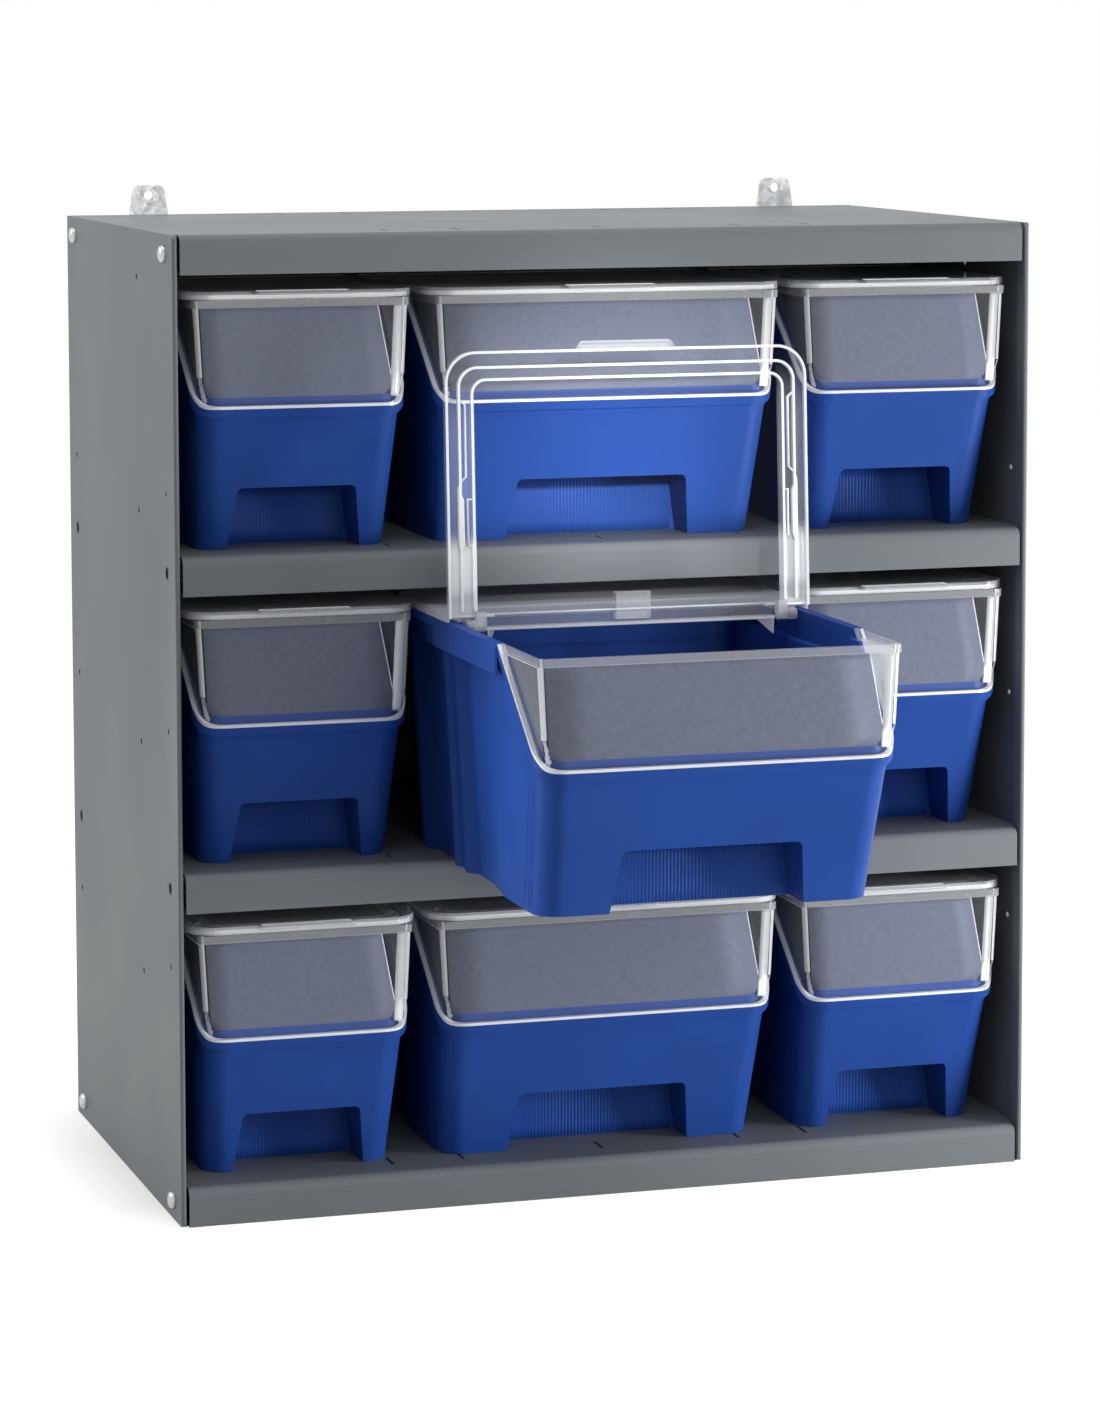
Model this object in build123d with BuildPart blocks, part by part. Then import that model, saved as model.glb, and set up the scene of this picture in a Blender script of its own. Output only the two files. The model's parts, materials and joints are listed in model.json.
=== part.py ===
"""Wall-mounted bin rack: a sheet-steel case with three shelves of clear-fronted, lidded bins.

Millimetres, +Z up, +Y towards the wall. The origin is under the case's centre, on the plane it
stands on. One bin stands pulled out of the middle shelf with its front flap open.
"""
from build123d import *
import os
from math import atan2, cos, radians, sin, tan

# Case
CASE_WIDTH = 576.0
CASE_DEPTH = 335.0
CASE_HEIGHT = 630.0
SHEET = 1.5
BACK_SHEET = 1.0
HEM_THICKNESS = 3.2
HEM_DEPTH = 12.0
HEM_ROUND_SHARE = 0.44
PANEL_CORNER_RADIUS = 4.0
REAR_FLANGE = 16.0
ROWS = 3

# Pressed pans: the top, the shelves and the bottom
LIP_HEIGHT = 25.0
LIP_BEND_RADIUS = 6.0
LIP_RETURN = 14.0
LIP_END_GAP = 1.8
SIDE_RETURN = 12.0
SLOT_LENGTH = 21.7
SLOT_WIDTH = 2.2
SLOT_COLUMNS = (-142.5, -95.0, 0.0, 95.0, 142.5)
FRONT_SLOT_SETBACK = 34.0
REAR_SLOT_SETBACK = 17.0

# Holes in the side panels
FIXING_SPREAD = 143.0
LOCATING_HOLE_RADIUS = 5.5
COLLAR_CLEARANCE = 0.1
COLLAR_WALL = 1.3
SMALL_HOLE_RADIUS = 2.0
SMALL_HOLE_ROWS = 4
INNER_HOLE_DROP = 18.4
INNER_HOLE_Y = -60.0

# Fasteners
BOLT_RADIUS = 3.0
BOLT_HEAD_RADIUS = 5.5
BOLT_HEAD_HEIGHT = 3.4
DOME_SHARE = 0.8
BOLT_LENGTH = 11.0
NUT_ACROSS_FLATS = 10.0
NUT_HEIGHT = 5.0
RIVET_RADIUS = 2.0
RIVET_HEAD_RADIUS = 4.0
RIVET_HEAD_HEIGHT = 1.4
BACK_RIVET_INSET = 40.0

# Wall tabs
TAB_SIDE_INSET = 57.2
TAB_RISE = 20.5
TAB_BASE_WIDTH = 27.5
TAB_TOP_WIDTH = 21.5
TAB_CORNER_RADIUS = 5.0
TAB_THICKNESS = 2.0
TAB_TAIL = 34.0
TAB_HOLE_DROP = 7.0
TAB_HOLE_RADIUS = 3.2
TAB_RIVET_DROPS = (8.0, 18.0)

# Bins
WIDE_LID_WIDTH = 240.0
BIN_GAP = 8.5
BIN_SIDE_GAP = 8.0
BIN_SETBACK = 7.5
BIN_LENGTH = 312.0
BIN_HEADROOM = 11.0
FOOT_CLEARANCE = 0.2
WALL = 2.4
FLOOR = 2.6
SIDE_DRAFT = 8.5
REAR_DRAFT = 6.0
FRONT_LEAN = 27.0
FRONT_WALL_HEIGHT = 91.5
FRONT_CORNER_RADIUS = 16.0
REAR_CORNER_RADIUS = 16.0
STEP_DROP = 20.2
# Each step is a depth behind the bin's front, and how far the side is drawn in there.
SIDE_STEPS = ((98.0, 0.0), (140.0, 6.0), (177.0, 6.5), (185.0, 0.5), (206.0, 4.0), (209.0, 0.5),
              (240.0, 7.5), (268.0, 7.5), (280.0, 1.0))

# The seat is the sloping edge of the body on which the window sits.
SEAT_TOP_SETBACK = 75.6
SEAT_FOOT_SETBACK = 2.3
SEAT_BEND_RADIUS = 10.0
COLLAR_PROUD = 3.0
COLLAR_DEPTH = 5.5
COLLAR_STEP_PROUD = 0.6
COLLAR_STEP_DEPTH = 9.5
INNER_LIP_RISE = 6.0
INNER_LIP_THICKNESS = 2.0
SEAT_CLEARANCE = 0.1

# Hand recess at the foot of the front wall
RECESS_HEIGHT = 40.0
RECESS_SIDE_SLOPE = 5.5
RECESS_CORNER_RADIUS = 4.0
NARROW_RECESS_MARGIN = 31.0
WIDE_RECESS_MARGIN = 57.5
NARROW_RECESS_DEPTH = 31.0
WIDE_RECESS_DEPTH = 27.0

# Rim flange and hooked side rails
RIM_FLANGE = 4.5
RIM_THICKNESS = 2.2
RIM_SKIRT = 6.0
RAIL_DEPTH = 18.5
RAIL_LENGTH = 138.0
RAIL_WALL = 1.8

# Window
PANE = 2.0
WINDOW_BAND_HEIGHT = 5.0
WINDOW_BAND_PROUD = 0.9
WINDOW_FLANGE = 1.8
WINDOW_CORNER_RADIUS = 4.0
WINDOW_CORNER_RISE = 20.0

# Lids
LID_LAP = 0.5
LID_FRONT_LAP = 1.0
LID_PLATE = 2.2
LID_SKIRT = 1.8
LID_SKIRT_DEPTH = 2.8
LID_SEAT_GAP = 0.3
LID_CORNER_RADIUS = 20.0
RIB_THICKNESS = 1.8
OUTER_RIB_INSET = 8.0
OUTER_RIB_FRONT_INSET = 9.4
OUTER_RIB_DEPTH = 3.0
OUTER_RIB_RADIUS = 13.0
INNER_RIB_INSET = 16.1
INNER_RIB_FRONT_INSET = 17.0
INNER_RIB_DEPTH = 4.5
INNER_RIB_RADIUS = 10.0
RIB_END_GAP = 4.4
FINGER_TAB_WIDTH = 66.0
FINGER_TAB_REACH = 5.0
FINGER_TAB_SLOPE = 3.5
FINGER_TAB_RADIUS = 1.5
FINGER_RIBS = 4
FINGER_RIB_PITCH = 1.9
FINGER_RIB_THICKNESS = 0.6
FINGER_RIB_HEIGHT = 0.5
TONGUE_WIDTH = 23.0
TONGUE_LENGTH = 17.0
TONGUE_DEPTH = 7.0
TONGUE_HEEL = 1.0

# Hinge between the rear lid, which carries the pins, and the front flap
HINGE_SETBACK = 171.0
HINGE_DROP = 4.8
KNUCKLE_RADIUS = 3.6
KNUCKLE_LENGTH = 6.0
KNUCKLE_GAP = 0.5
KNUCKLE_INSET = 10.5
PIN_RADIUS = 2.0
PIN_CLEARANCE = 0.06
FLAP_ARM = 9.0
FLAP_HEEL_GAP = 5.0
REAR_LID_GAP = 7.6
LEDGE_START = 1.0
LEDGE_DROP = 1.0
LEDGE_THICKNESS = 2.0
FIN_LENGTH = 16.0
FIN_DEPTH = 9.5
FIN_THICKNESS = 1.2
FIN_TURN = 30.0
OPEN_ANGLE = 93.0

# The bin that stands pulled out
PULLED_OUT = 237.0
PULLED_ASIDE = -6.0

os.makedirs("parts", exist_ok=True)

# Places that follow from the sizes above
FRONT = -CASE_DEPTH / 2
REAR = CASE_DEPTH / 2
PANEL_INNER = CASE_WIDTH / 2 - SHEET
FLANGE_INNER = REAR - SHEET
PAN_REAR = FLANGE_INNER - BACK_SHEET
LIP_HALF = CASE_WIDTH / 2 - HEM_THICKNESS - LIP_END_GAP
ROW_PITCH = (CASE_HEIGHT - LIP_HEIGHT) / ROWS
FIXING_ROWS = (-FIXING_SPREAD, FIXING_SPREAD)
PAN_MIDDLES = [LIP_HEIGHT / 2 + row * ROW_PITCH for row in range(ROWS + 1)]
SMALL_HOLE_PITCH = (CASE_HEIGHT - LIP_HEIGHT) / SMALL_HOLE_ROWS
SMALL_HOLE_HEIGHTS = [LIP_HEIGHT / 2 + (row + 1) * SMALL_HOLE_PITCH for row in range(SMALL_HOLE_ROWS)]

TAB_SPREAD = CASE_WIDTH / 2 - TAB_SIDE_INSET
TAB_RIVET_PLACES = [(side * TAB_SPREAD, CASE_HEIGHT - drop) for side in (-1, 1) for drop in TAB_RIVET_DROPS]
BACK_RIVET_X = CASE_WIDTH / 2 - REAR_FLANGE / 2 - SHEET
BACK_RIVET_HEIGHTS = [row * ROW_PITCH + offset for row in range(ROWS)
                      for offset in (LIP_HEIGHT + BACK_RIVET_INSET, ROW_PITCH - BACK_RIVET_INSET)]
BACK_RIVET_PLACES = [(side * BACK_RIVET_X, height) for side in (-1, 1) for height in BACK_RIVET_HEIGHTS]
CORNER_BOLT_PLACES = [(y, z) for y in FIXING_ROWS for z in (PAN_MIDDLES[0], PAN_MIDDLES[-1])]

NARROW_LID_WIDTH = PANEL_INNER - WIDE_LID_WIDTH / 2 - BIN_GAP - BIN_SIDE_GAP
COLUMN_PITCH = WIDE_LID_WIDTH / 2 + BIN_GAP + NARROW_LID_WIDTH / 2
NARROW_RECESS_WIDTH = NARROW_LID_WIDTH - 2 * NARROW_RECESS_MARGIN
WIDE_RECESS_WIDTH = WIDE_LID_WIDTH - 2 * WIDE_RECESS_MARGIN
LID_STACK = LID_SEAT_GAP + LID_SKIRT_DEPTH + LID_PLATE
RIM_HEIGHT = ROW_PITCH - LIP_HEIGHT - FOOT_CLEARANCE - BIN_HEADROOM - LID_STACK
STEP_TOP = RIM_HEIGHT - STEP_DROP
LID_UNDERSIDE = RIM_HEIGHT + LID_SEAT_GAP + LID_SKIRT_DEPTH
LID_TOP = LID_UNDERSIDE + LID_PLATE
HINGE_HEIGHT = LID_UNDERSIDE - HINGE_DROP
SEAT_ANGLE = atan2(RIM_HEIGHT - FRONT_WALL_HEIGHT, SEAT_TOP_SETBACK - SEAT_FOOT_SETBACK)


def write(piece, name):
    """Labels a finished piece and writes it."""
    piece.part.label = name
    export_step(piece.part, f"parts/{name}.step")


# Side panels
def side_panel(name, side):
    """A flat sheet with a hemmed front edge and a flange at the wall; side is -1 left or 1 right."""
    outer = side * CASE_WIDTH / 2
    with BuildPart() as panel:
        with BuildSketch(Plane.XY) as plan:
            with Locations((side * (PANEL_INNER + SHEET / 2), 0)):
                Rectangle(SHEET, CASE_DEPTH)
            with Locations((side * (CASE_WIDTH - HEM_THICKNESS) / 2, FRONT + HEM_DEPTH / 2)):
                Rectangle(HEM_THICKNESS, HEM_DEPTH)
            fillet(plan.vertices().group_by(Axis.Y)[0], HEM_THICKNESS * HEM_ROUND_SHARE)
            with Locations((side * (CASE_WIDTH - REAR_FLANGE) / 2, REAR - SHEET / 2)):
                Rectangle(REAR_FLANGE, SHEET)
        extrude(amount=CASE_HEIGHT)
        with BuildSketch(Plane.YZ.offset(outer)) as elevation:
            with Locations((0, CASE_HEIGHT / 2)):
                Rectangle(CASE_DEPTH, CASE_HEIGHT)
            fillet(elevation.vertices().group_by(Axis.X)[0], PANEL_CORNER_RADIUS)
        extrude(amount=-side * REAR_FLANGE, mode=Mode.INTERSECT)
        with BuildSketch(Plane.YZ.offset(outer)):
            with Locations(*[(y, z) for y in FIXING_ROWS for z in PAN_MIDDLES[1:-1]]):
                Circle(LOCATING_HOLE_RADIUS)
            with Locations(*CORNER_BOLT_PLACES):
                Circle(BOLT_RADIUS)
            with Locations(*[(y, z) for y in FIXING_ROWS for z in SMALL_HOLE_HEIGHTS[:-1]]):
                Circle(SMALL_HOLE_RADIUS)
            with Locations(*[(INNER_HOLE_Y, z - INNER_HOLE_DROP) for z in SMALL_HOLE_HEIGHTS]):
                Circle(SMALL_HOLE_RADIUS)
        extrude(amount=-side * SHEET, mode=Mode.SUBTRACT)
        with BuildSketch(Plane.XZ.offset(-REAR)):
            with Locations(*BACK_RIVET_PLACES):
                Circle(RIVET_RADIUS)
        extrude(amount=SHEET, mode=Mode.SUBTRACT)
    write(panel, name)


side_panel("left_side_panel", -1)
side_panel("right_side_panel", 1)


# Pans
def pan(name, base, hung, tabbed):
    """A pressed pan whose lips hang from its flat top; base is the height of its lower edge.

    A hung pan has drawn collars that sit in the side panels' locating holes, and any other has bolt
    holes. A tabbed pan has rivet holes for the wall tabs in its rear flange.
    """
    top = base + LIP_HEIGHT
    middle = base + LIP_HEIGHT / 2
    side_front = FRONT + LIP_RETURN - SHEET
    side_length = PAN_REAR - side_front
    with BuildPart() as body:
        with BuildSketch(Plane.YZ.offset(-LIP_HALF)) as section:
            with Locations(((FRONT + PAN_REAR) / 2, middle)):
                Rectangle(PAN_REAR - FRONT, LIP_HEIGHT)
            fillet(section.vertices().group_by(Axis.Y)[-1].sort_by(Axis.X)[0], LIP_BEND_RADIUS)
            offset(amount=-SHEET, mode=Mode.SUBTRACT)
            with Locations(((FRONT + LIP_RETURN + PAN_REAR - SIDE_RETURN) / 2, base)):
                Rectangle(PAN_REAR - SIDE_RETURN - FRONT - LIP_RETURN, LIP_BEND_RADIUS, mode=Mode.SUBTRACT)
        extrude(amount=2 * LIP_HALF)
        for side in (-1, 1):
            with BuildSketch(Plane.XZ.offset(-side_front)):
                with Locations((side * (PANEL_INNER + LIP_HALF) / 2, top - SHEET / 2)):
                    Rectangle(PANEL_INNER - LIP_HALF, SHEET)
                with Locations((side * (PANEL_INNER - SHEET / 2), middle)):
                    Rectangle(SHEET, LIP_HEIGHT)
                with Locations((side * (PANEL_INNER - SIDE_RETURN / 2), base + SHEET / 2)):
                    Rectangle(SIDE_RETURN, SHEET)
            extrude(amount=-side_length)
        with BuildSketch(Plane.XY.offset(top)):
            with Locations(*[(x, y) for x in SLOT_COLUMNS
                             for y in (FRONT + FRONT_SLOT_SETBACK, PAN_REAR - REAR_SLOT_SETBACK)]):
                SlotOverall(SLOT_LENGTH, SLOT_WIDTH, rotation=90)
        extrude(amount=-SHEET, mode=Mode.SUBTRACT)
        for side in (-1, 1):
            if hung:
                collar_plane = Plane.YZ.offset(side * (PANEL_INNER + SHEET))
                collar_radius = LOCATING_HOLE_RADIUS - COLLAR_CLEARANCE
                with BuildSketch(collar_plane):
                    with Locations(*[(y, middle) for y in FIXING_ROWS]):
                        Circle(collar_radius)
                extrude(amount=-side * 2 * SHEET)
                with BuildSketch(collar_plane):
                    with Locations(*[(y, middle) for y in FIXING_ROWS]):
                        Circle(collar_radius - COLLAR_WALL)
                extrude(amount=-side * 2 * SHEET, mode=Mode.SUBTRACT)
            else:
                with BuildSketch(Plane.YZ.offset(side * PANEL_INNER)):
                    with Locations(*[(y, middle) for y in FIXING_ROWS]):
                        Circle(BOLT_RADIUS)
                extrude(amount=-side * SHEET, mode=Mode.SUBTRACT)
        if tabbed:
            with BuildSketch(Plane.XZ.offset(-PAN_REAR)):
                with Locations(*TAB_RIVET_PLACES):
                    Circle(RIVET_RADIUS)
            extrude(amount=SHEET, mode=Mode.SUBTRACT)
    write(body, name)


pan("bottom_panel", 0.0, hung=False, tabbed=False)
pan("lower_shelf", ROW_PITCH, hung=True, tabbed=False)
pan("upper_shelf", 2 * ROW_PITCH, hung=True, tabbed=False)
pan("top_panel", 3 * ROW_PITCH, hung=False, tabbed=True)

# Back panel, held between the side panels' flanges and the pans
with BuildPart() as back_panel:
    with BuildSketch(Plane.XZ.offset(-FLANGE_INNER)):
        with Locations((0, CASE_HEIGHT / 2)):
            Rectangle(2 * PANEL_INNER, CASE_HEIGHT)
        with Locations(*TAB_RIVET_PLACES, *BACK_RIVET_PLACES):
            Circle(RIVET_RADIUS, mode=Mode.SUBTRACT)
    extrude(amount=BACK_SHEET)
write(back_panel, "back_panel")


# Wall tabs
def wall_tab(name, side):
    """A galvanised strap behind the back panel, rising above the case with one screw hole."""
    crown = CASE_HEIGHT + TAB_RISE
    centre = side * TAB_SPREAD
    right = [(TAB_BASE_WIDTH / 2, CASE_HEIGHT - TAB_TAIL),
             (TAB_BASE_WIDTH / 2, CASE_HEIGHT),
             (TAB_TOP_WIDTH / 2, crown)]
    outline = [(centre + x, z) for x, z in right] + [(centre - x, z) for x, z in reversed(right)]
    with BuildPart() as tab:
        with BuildSketch(Plane.XZ.offset(-FLANGE_INNER)) as face:
            with BuildLine():
                Polyline(*outline, close=True)
            make_face()
            fillet(face.vertices().group_by(Axis.Y)[-1], TAB_CORNER_RADIUS)
            with Locations((centre, crown - TAB_HOLE_DROP)):
                Circle(TAB_HOLE_RADIUS, mode=Mode.SUBTRACT)
            with Locations(*[(centre, CASE_HEIGHT - drop) for drop in TAB_RIVET_DROPS]):
                Circle(RIVET_RADIUS, mode=Mode.SUBTRACT)
        extrude(amount=-TAB_THICKNESS)
    write(tab, name)


wall_tab("left_wall_tab", -1)
wall_tab("right_wall_tab", 1)


# Rivets
def rivets(name, places, head_face, tail_face):
    """Rivets along Y, with domed heads inside the case and tails flush outside."""
    with BuildPart() as group:
        with BuildSketch(Plane.XZ.offset(-head_face)):
            with Locations(*places):
                Circle(RIVET_RADIUS)
        extrude(amount=head_face - tail_face)
        with BuildSketch(Plane.XZ.offset(-head_face)):
            with Locations(*places):
                Circle(RIVET_HEAD_RADIUS)
        extrude(amount=RIVET_HEAD_HEIGHT)
        crowns = group.edges().filter_by(GeomType.CIRCLE).group_by(Axis.Y)[0]
        fillet(crowns, RIVET_HEAD_HEIGHT * DOME_SHARE)
    write(group, name)


rivets("wall_tab_rivets", TAB_RIVET_PLACES, PAN_REAR - SHEET, FLANGE_INNER + TAB_THICKNESS)
rivets("back_panel_rivets", BACK_RIVET_PLACES, PAN_REAR, REAR)

# Corner bolts, with domed heads outside, and their nuts inside the top and bottom pans
with BuildPart() as corner_bolts:
    for side in (-1, 1):
        with BuildSketch(Plane.YZ.offset(side * CASE_WIDTH / 2)):
            with Locations(*CORNER_BOLT_PLACES):
                Circle(BOLT_HEAD_RADIUS)
        extrude(amount=side * BOLT_HEAD_HEIGHT)
        with BuildSketch(Plane.YZ.offset(side * CASE_WIDTH / 2)):
            with Locations(*CORNER_BOLT_PLACES):
                Circle(BOLT_RADIUS)
        extrude(amount=-side * BOLT_LENGTH)
    rings = corner_bolts.edges().filter_by(GeomType.CIRCLE).group_by(Axis.X)
    fillet(rings[0] + rings[-1], BOLT_HEAD_HEIGHT * DOME_SHARE)
write(corner_bolts, "corner_bolts")

with BuildPart() as corner_nuts:
    for side in (-1, 1):
        with BuildSketch(Plane.YZ.offset(side * (PANEL_INNER - SHEET))):
            with Locations(*CORNER_BOLT_PLACES):
                RegularPolygon(NUT_ACROSS_FLATS / 2, 6, major_radius=False)
                Circle(BOLT_RADIUS, mode=Mode.SUBTRACT)
        extrude(amount=-side * NUT_HEIGHT)
write(corner_nuts, "corner_nuts")


# Bins are drawn with the pane's face at depth 0, the foot at height 0 and the middle at width 0.
def front_corner(height, narrowed):
    """The front corners' radius at a height. A window's narrowed corners tighten above the seat."""
    if not narrowed:
        return FRONT_CORNER_RADIUS
    share = min(1.0, max(0.0, (height - FRONT_WALL_HEIGHT) / WINDOW_CORNER_RISE))
    return FRONT_CORNER_RADIUS + share * (WINDOW_CORNER_RADIUS - FRONT_CORNER_RADIUS)


def bin_plan(lid_half, height, inset, stepped=False, narrowed=False):
    """The plan outline of a bin's wall at a height, drawn in by inset, with or without side steps.

    The sides draw in towards the foot, and the front leans back below the seat and is upright above.
    """
    half = lid_half - LID_LAP - RIM_FLANGE - SIDE_DRAFT * (1 - height / RIM_HEIGHT) - inset
    front = FRONT_LEAN * max(0.0, 1 - height / FRONT_WALL_HEIGHT) + inset
    rear = BIN_LENGTH - RIM_FLANGE - REAR_DRAFT * (1 - height / RIM_HEIGHT) - inset
    steps = SIDE_STEPS if stepped else ()
    right = [(half, front)] + [(half - drawn_in, depth) for depth, drawn_in in steps] + [(half, rear)]
    with BuildSketch() as plan:
        with BuildLine():
            Polyline(*right, *[(-x, y) for x, y in reversed(right)], close=True)
        make_face()
        fillet(plan.vertices().group_by(Axis.Y)[0], front_corner(height, narrowed) - inset)
        fillet(plan.vertices().group_by(Axis.Y)[-1], REAR_CORNER_RADIUS - inset)
    return plan.sketch


def bin_block(lid_half, heights, inset, stepped=False, narrowed=False):
    """A solid through the plan outlines at the given heights, straight from each to the next."""
    plans = [(height, bin_plan(lid_half, height, inset, stepped, narrowed)) for height in heights]
    with BuildPart() as block:
        for height, plan in plans:
            with BuildSketch(Plane.XY.offset(height)):
                add(plan)
        loft(ruled=True)
    return block.part


def above_seat(lid_half, lift):
    """The space in front of and above the seat, with the seat lifted square to itself by lift."""
    back = -tan(SEAT_ANGLE / 2) * lift
    foot = (SEAT_FOOT_SETBACK + back, FRONT_WALL_HEIGHT + lift)
    run = SEAT_TOP_SETBACK - SEAT_FOOT_SETBACK
    far = (foot[0] + 2 * run, foot[1] + 2 * (RIM_HEIGHT - FRONT_WALL_HEIGHT))
    with BuildPart() as block:
        with BuildSketch(Plane.YZ.offset(-lid_half)) as side:
            with BuildLine():
                Polyline(foot, far, (-FRONT_LEAN, far[1]), (-FRONT_LEAN, foot[1]), close=True)
            make_face()
            bend = side.vertices().group_by(Axis.Y)[0].sort_by(Axis.X)[-1]
            fillet(bend, SEAT_BEND_RADIUS - lift)
        extrude(amount=2 * lid_half)
    return block.part


def hand_recess(width, depth, grow):
    """The trapezoid pocket at the foot of the front wall, made larger all round by grow."""
    foot = width / 2 + grow
    crown = foot - RECESS_SIDE_SLOPE
    with BuildPart() as pocket:
        with BuildSketch(Plane.XZ.offset(FRONT_LEAN)) as face:
            with BuildLine():
                Polyline((-foot, -FLOOR), (foot, -FLOOR), (crown, RECESS_HEIGHT + grow),
                         (-crown, RECESS_HEIGHT + grow), close=True)
            make_face()
            fillet(face.vertices().group_by(Axis.Y)[-1], RECESS_CORNER_RADIUS + grow)
        extrude(amount=-(2 * FRONT_LEAN + depth + grow))
    return pocket.part


def bin_body(lid_half, recess_width, recess_depth):
    """The moulded body: drafted walls, stepped collar, inner lip, rim flange, rails and hand recess."""
    whole = (0.0, FRONT_WALL_HEIGHT, RIM_HEIGHT)
    lip_heights = (0.0, FRONT_WALL_HEIGHT, RIM_HEIGHT - INNER_LIP_RISE)
    lip_inset = PANE + SEAT_CLEARANCE
    lower = bin_block(lid_half, (0.0, FRONT_WALL_HEIGHT, STEP_TOP), 0.0, stepped=True)
    upper = bin_block(lid_half, (STEP_TOP, RIM_HEIGHT), 0.0)
    lower_hollow = bin_block(lid_half, (FLOOR, FRONT_WALL_HEIGHT, STEP_TOP + WALL), WALL, stepped=True)
    upper_hollow = bin_block(lid_half, (STEP_TOP + WALL, RIM_HEIGHT + WALL), WALL)
    pocket_walls = hand_recess(recess_width, recess_depth, WALL)
    pocket = hand_recess(recess_width, recess_depth, 0.0)
    collar_block = bin_block(lid_half, whole, -COLLAR_PROUD)
    collar_step_block = bin_block(lid_half, whole, -COLLAR_STEP_PROUD)
    lip_block = bin_block(lid_half, lip_heights, lip_inset)
    lip_hollow = bin_block(lid_half, whole, lip_inset + INNER_LIP_THICKNESS)
    above_collar_foot = above_seat(lid_half, -COLLAR_DEPTH)
    above_collar_step = above_seat(lid_half, -COLLAR_STEP_DEPTH)
    above_lip = above_seat(lid_half, INNER_LIP_RISE)
    seat = above_seat(lid_half, 0.0)
    rim_plan = bin_plan(lid_half, RIM_HEIGHT, -RIM_FLANGE)
    rail_plan = bin_plan(lid_half, RIM_HEIGHT, RAIL_WALL - RIM_FLANGE)
    with BuildPart() as hollow:
        add(lower_hollow)
        add(upper_hollow)
        add(pocket_walls, mode=Mode.SUBTRACT)
    with BuildPart() as collar:
        add(collar_block)
        add(above_collar_foot, mode=Mode.INTERSECT)
    with BuildPart() as collar_step:
        add(collar_step_block)
        add(above_collar_step, mode=Mode.INTERSECT)
    with BuildPart() as inner_lip:
        add(lip_block)
        add(lip_hollow, mode=Mode.SUBTRACT)
        add(above_collar_foot, mode=Mode.INTERSECT)
        add(above_lip, mode=Mode.SUBTRACT)
    with BuildPart() as rim:
        with BuildSketch(Plane.XY.offset(RIM_HEIGHT)):
            add(rim_plan)
        extrude(amount=-RAIL_DEPTH)
        with BuildSketch(Plane.XY.offset(RIM_HEIGHT - RIM_THICKNESS)):
            add(rail_plan)
        extrude(amount=-RAIL_DEPTH, mode=Mode.SUBTRACT)
        with BuildSketch(Plane.XY.offset(RIM_HEIGHT - RIM_SKIRT)):
            with Locations((0, SEAT_TOP_SETBACK + RAIL_LENGTH + BIN_LENGTH / 2)):
                Rectangle(2 * lid_half, BIN_LENGTH)
        extrude(amount=-RAIL_DEPTH, mode=Mode.SUBTRACT)
        with BuildSketch(Plane.XY.offset(RIM_HEIGHT)):
            with Locations((0, SEAT_TOP_SETBACK - BIN_LENGTH / 2)):
                Rectangle(2 * lid_half, BIN_LENGTH)
        extrude(amount=-RAIL_DEPTH, mode=Mode.SUBTRACT)
    with BuildPart() as body:
        add(lower)
        add(upper)
        add(collar_step.part)
        add(collar.part)
        add(seat, mode=Mode.SUBTRACT)
        add(rim.part)
        add(hollow.part, mode=Mode.SUBTRACT)
        add(pocket, mode=Mode.SUBTRACT)
        add(inner_lip.part)
    return body.part


def bin_window(lid_half):
    """The clear front: an upright pane with cheeks, a band at its top and a flange on the seat."""
    bend = FRONT_WALL_HEIGHT + WINDOW_CORNER_RISE
    pane_heights = (FRONT_WALL_HEIGHT, bend, RIM_HEIGHT)
    hollow_heights = (FRONT_WALL_HEIGHT - PANE, FRONT_WALL_HEIGHT, bend, RIM_HEIGHT + PANE)
    flange_block = bin_block(lid_half, (FRONT_WALL_HEIGHT, RIM_HEIGHT), -COLLAR_PROUD)
    pane_block = bin_block(lid_half, pane_heights, 0.0, narrowed=True)
    hollow = bin_block(lid_half, hollow_heights, PANE, narrowed=True)
    band_plan = bin_plan(lid_half, RIM_HEIGHT, -WINDOW_BAND_PROUD, narrowed=True)
    above_flange = above_seat(lid_half, SEAT_CLEARANCE + WINDOW_FLANGE)
    sitting = above_seat(lid_half, SEAT_CLEARANCE)
    with BuildPart() as window:
        add(flange_block)
        add(above_flange, mode=Mode.SUBTRACT)
        add(pane_block)
        with BuildSketch(Plane.XY.offset(RIM_HEIGHT)):
            add(band_plan)
        extrude(amount=-WINDOW_BAND_HEIGHT)
        add(hollow, mode=Mode.SUBTRACT)
        add(sitting, mode=Mode.INTERSECT)
    return window.part


# Each rib of a lid has its inset at the sides, its inset at the front, its corners' radius and its depth.
LID_RIBS = ((OUTER_RIB_INSET, OUTER_RIB_FRONT_INSET, OUTER_RIB_RADIUS, OUTER_RIB_DEPTH),
            (INNER_RIB_INSET, INNER_RIB_FRONT_INSET, INNER_RIB_RADIUS, INNER_RIB_DEPTH))


def lid_plan(half, front, rear, front_radius=0.0, rear_radius=0.0):
    """A lid's plan outline between two depths, with rounded corners at one end."""
    with BuildSketch() as plan:
        with Locations((0, (front + rear) / 2)):
            Rectangle(2 * half, rear - front)
        corners = plan.vertices().group_by(Axis.Y)
        if front_radius > 0:
            fillet(corners[0], front_radius)
        if rear_radius > 0:
            fillet(corners[-1], rear_radius)
    return plan.sketch


def knuckle_end(lid_half, number):
    """Distance from the middle to the outer end of a knuckle: 0 is the rear lid's, 1 the flap's."""
    return lid_half - KNUCKLE_INSET - number * (KNUCKLE_LENGTH + KNUCKLE_GAP)


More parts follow.
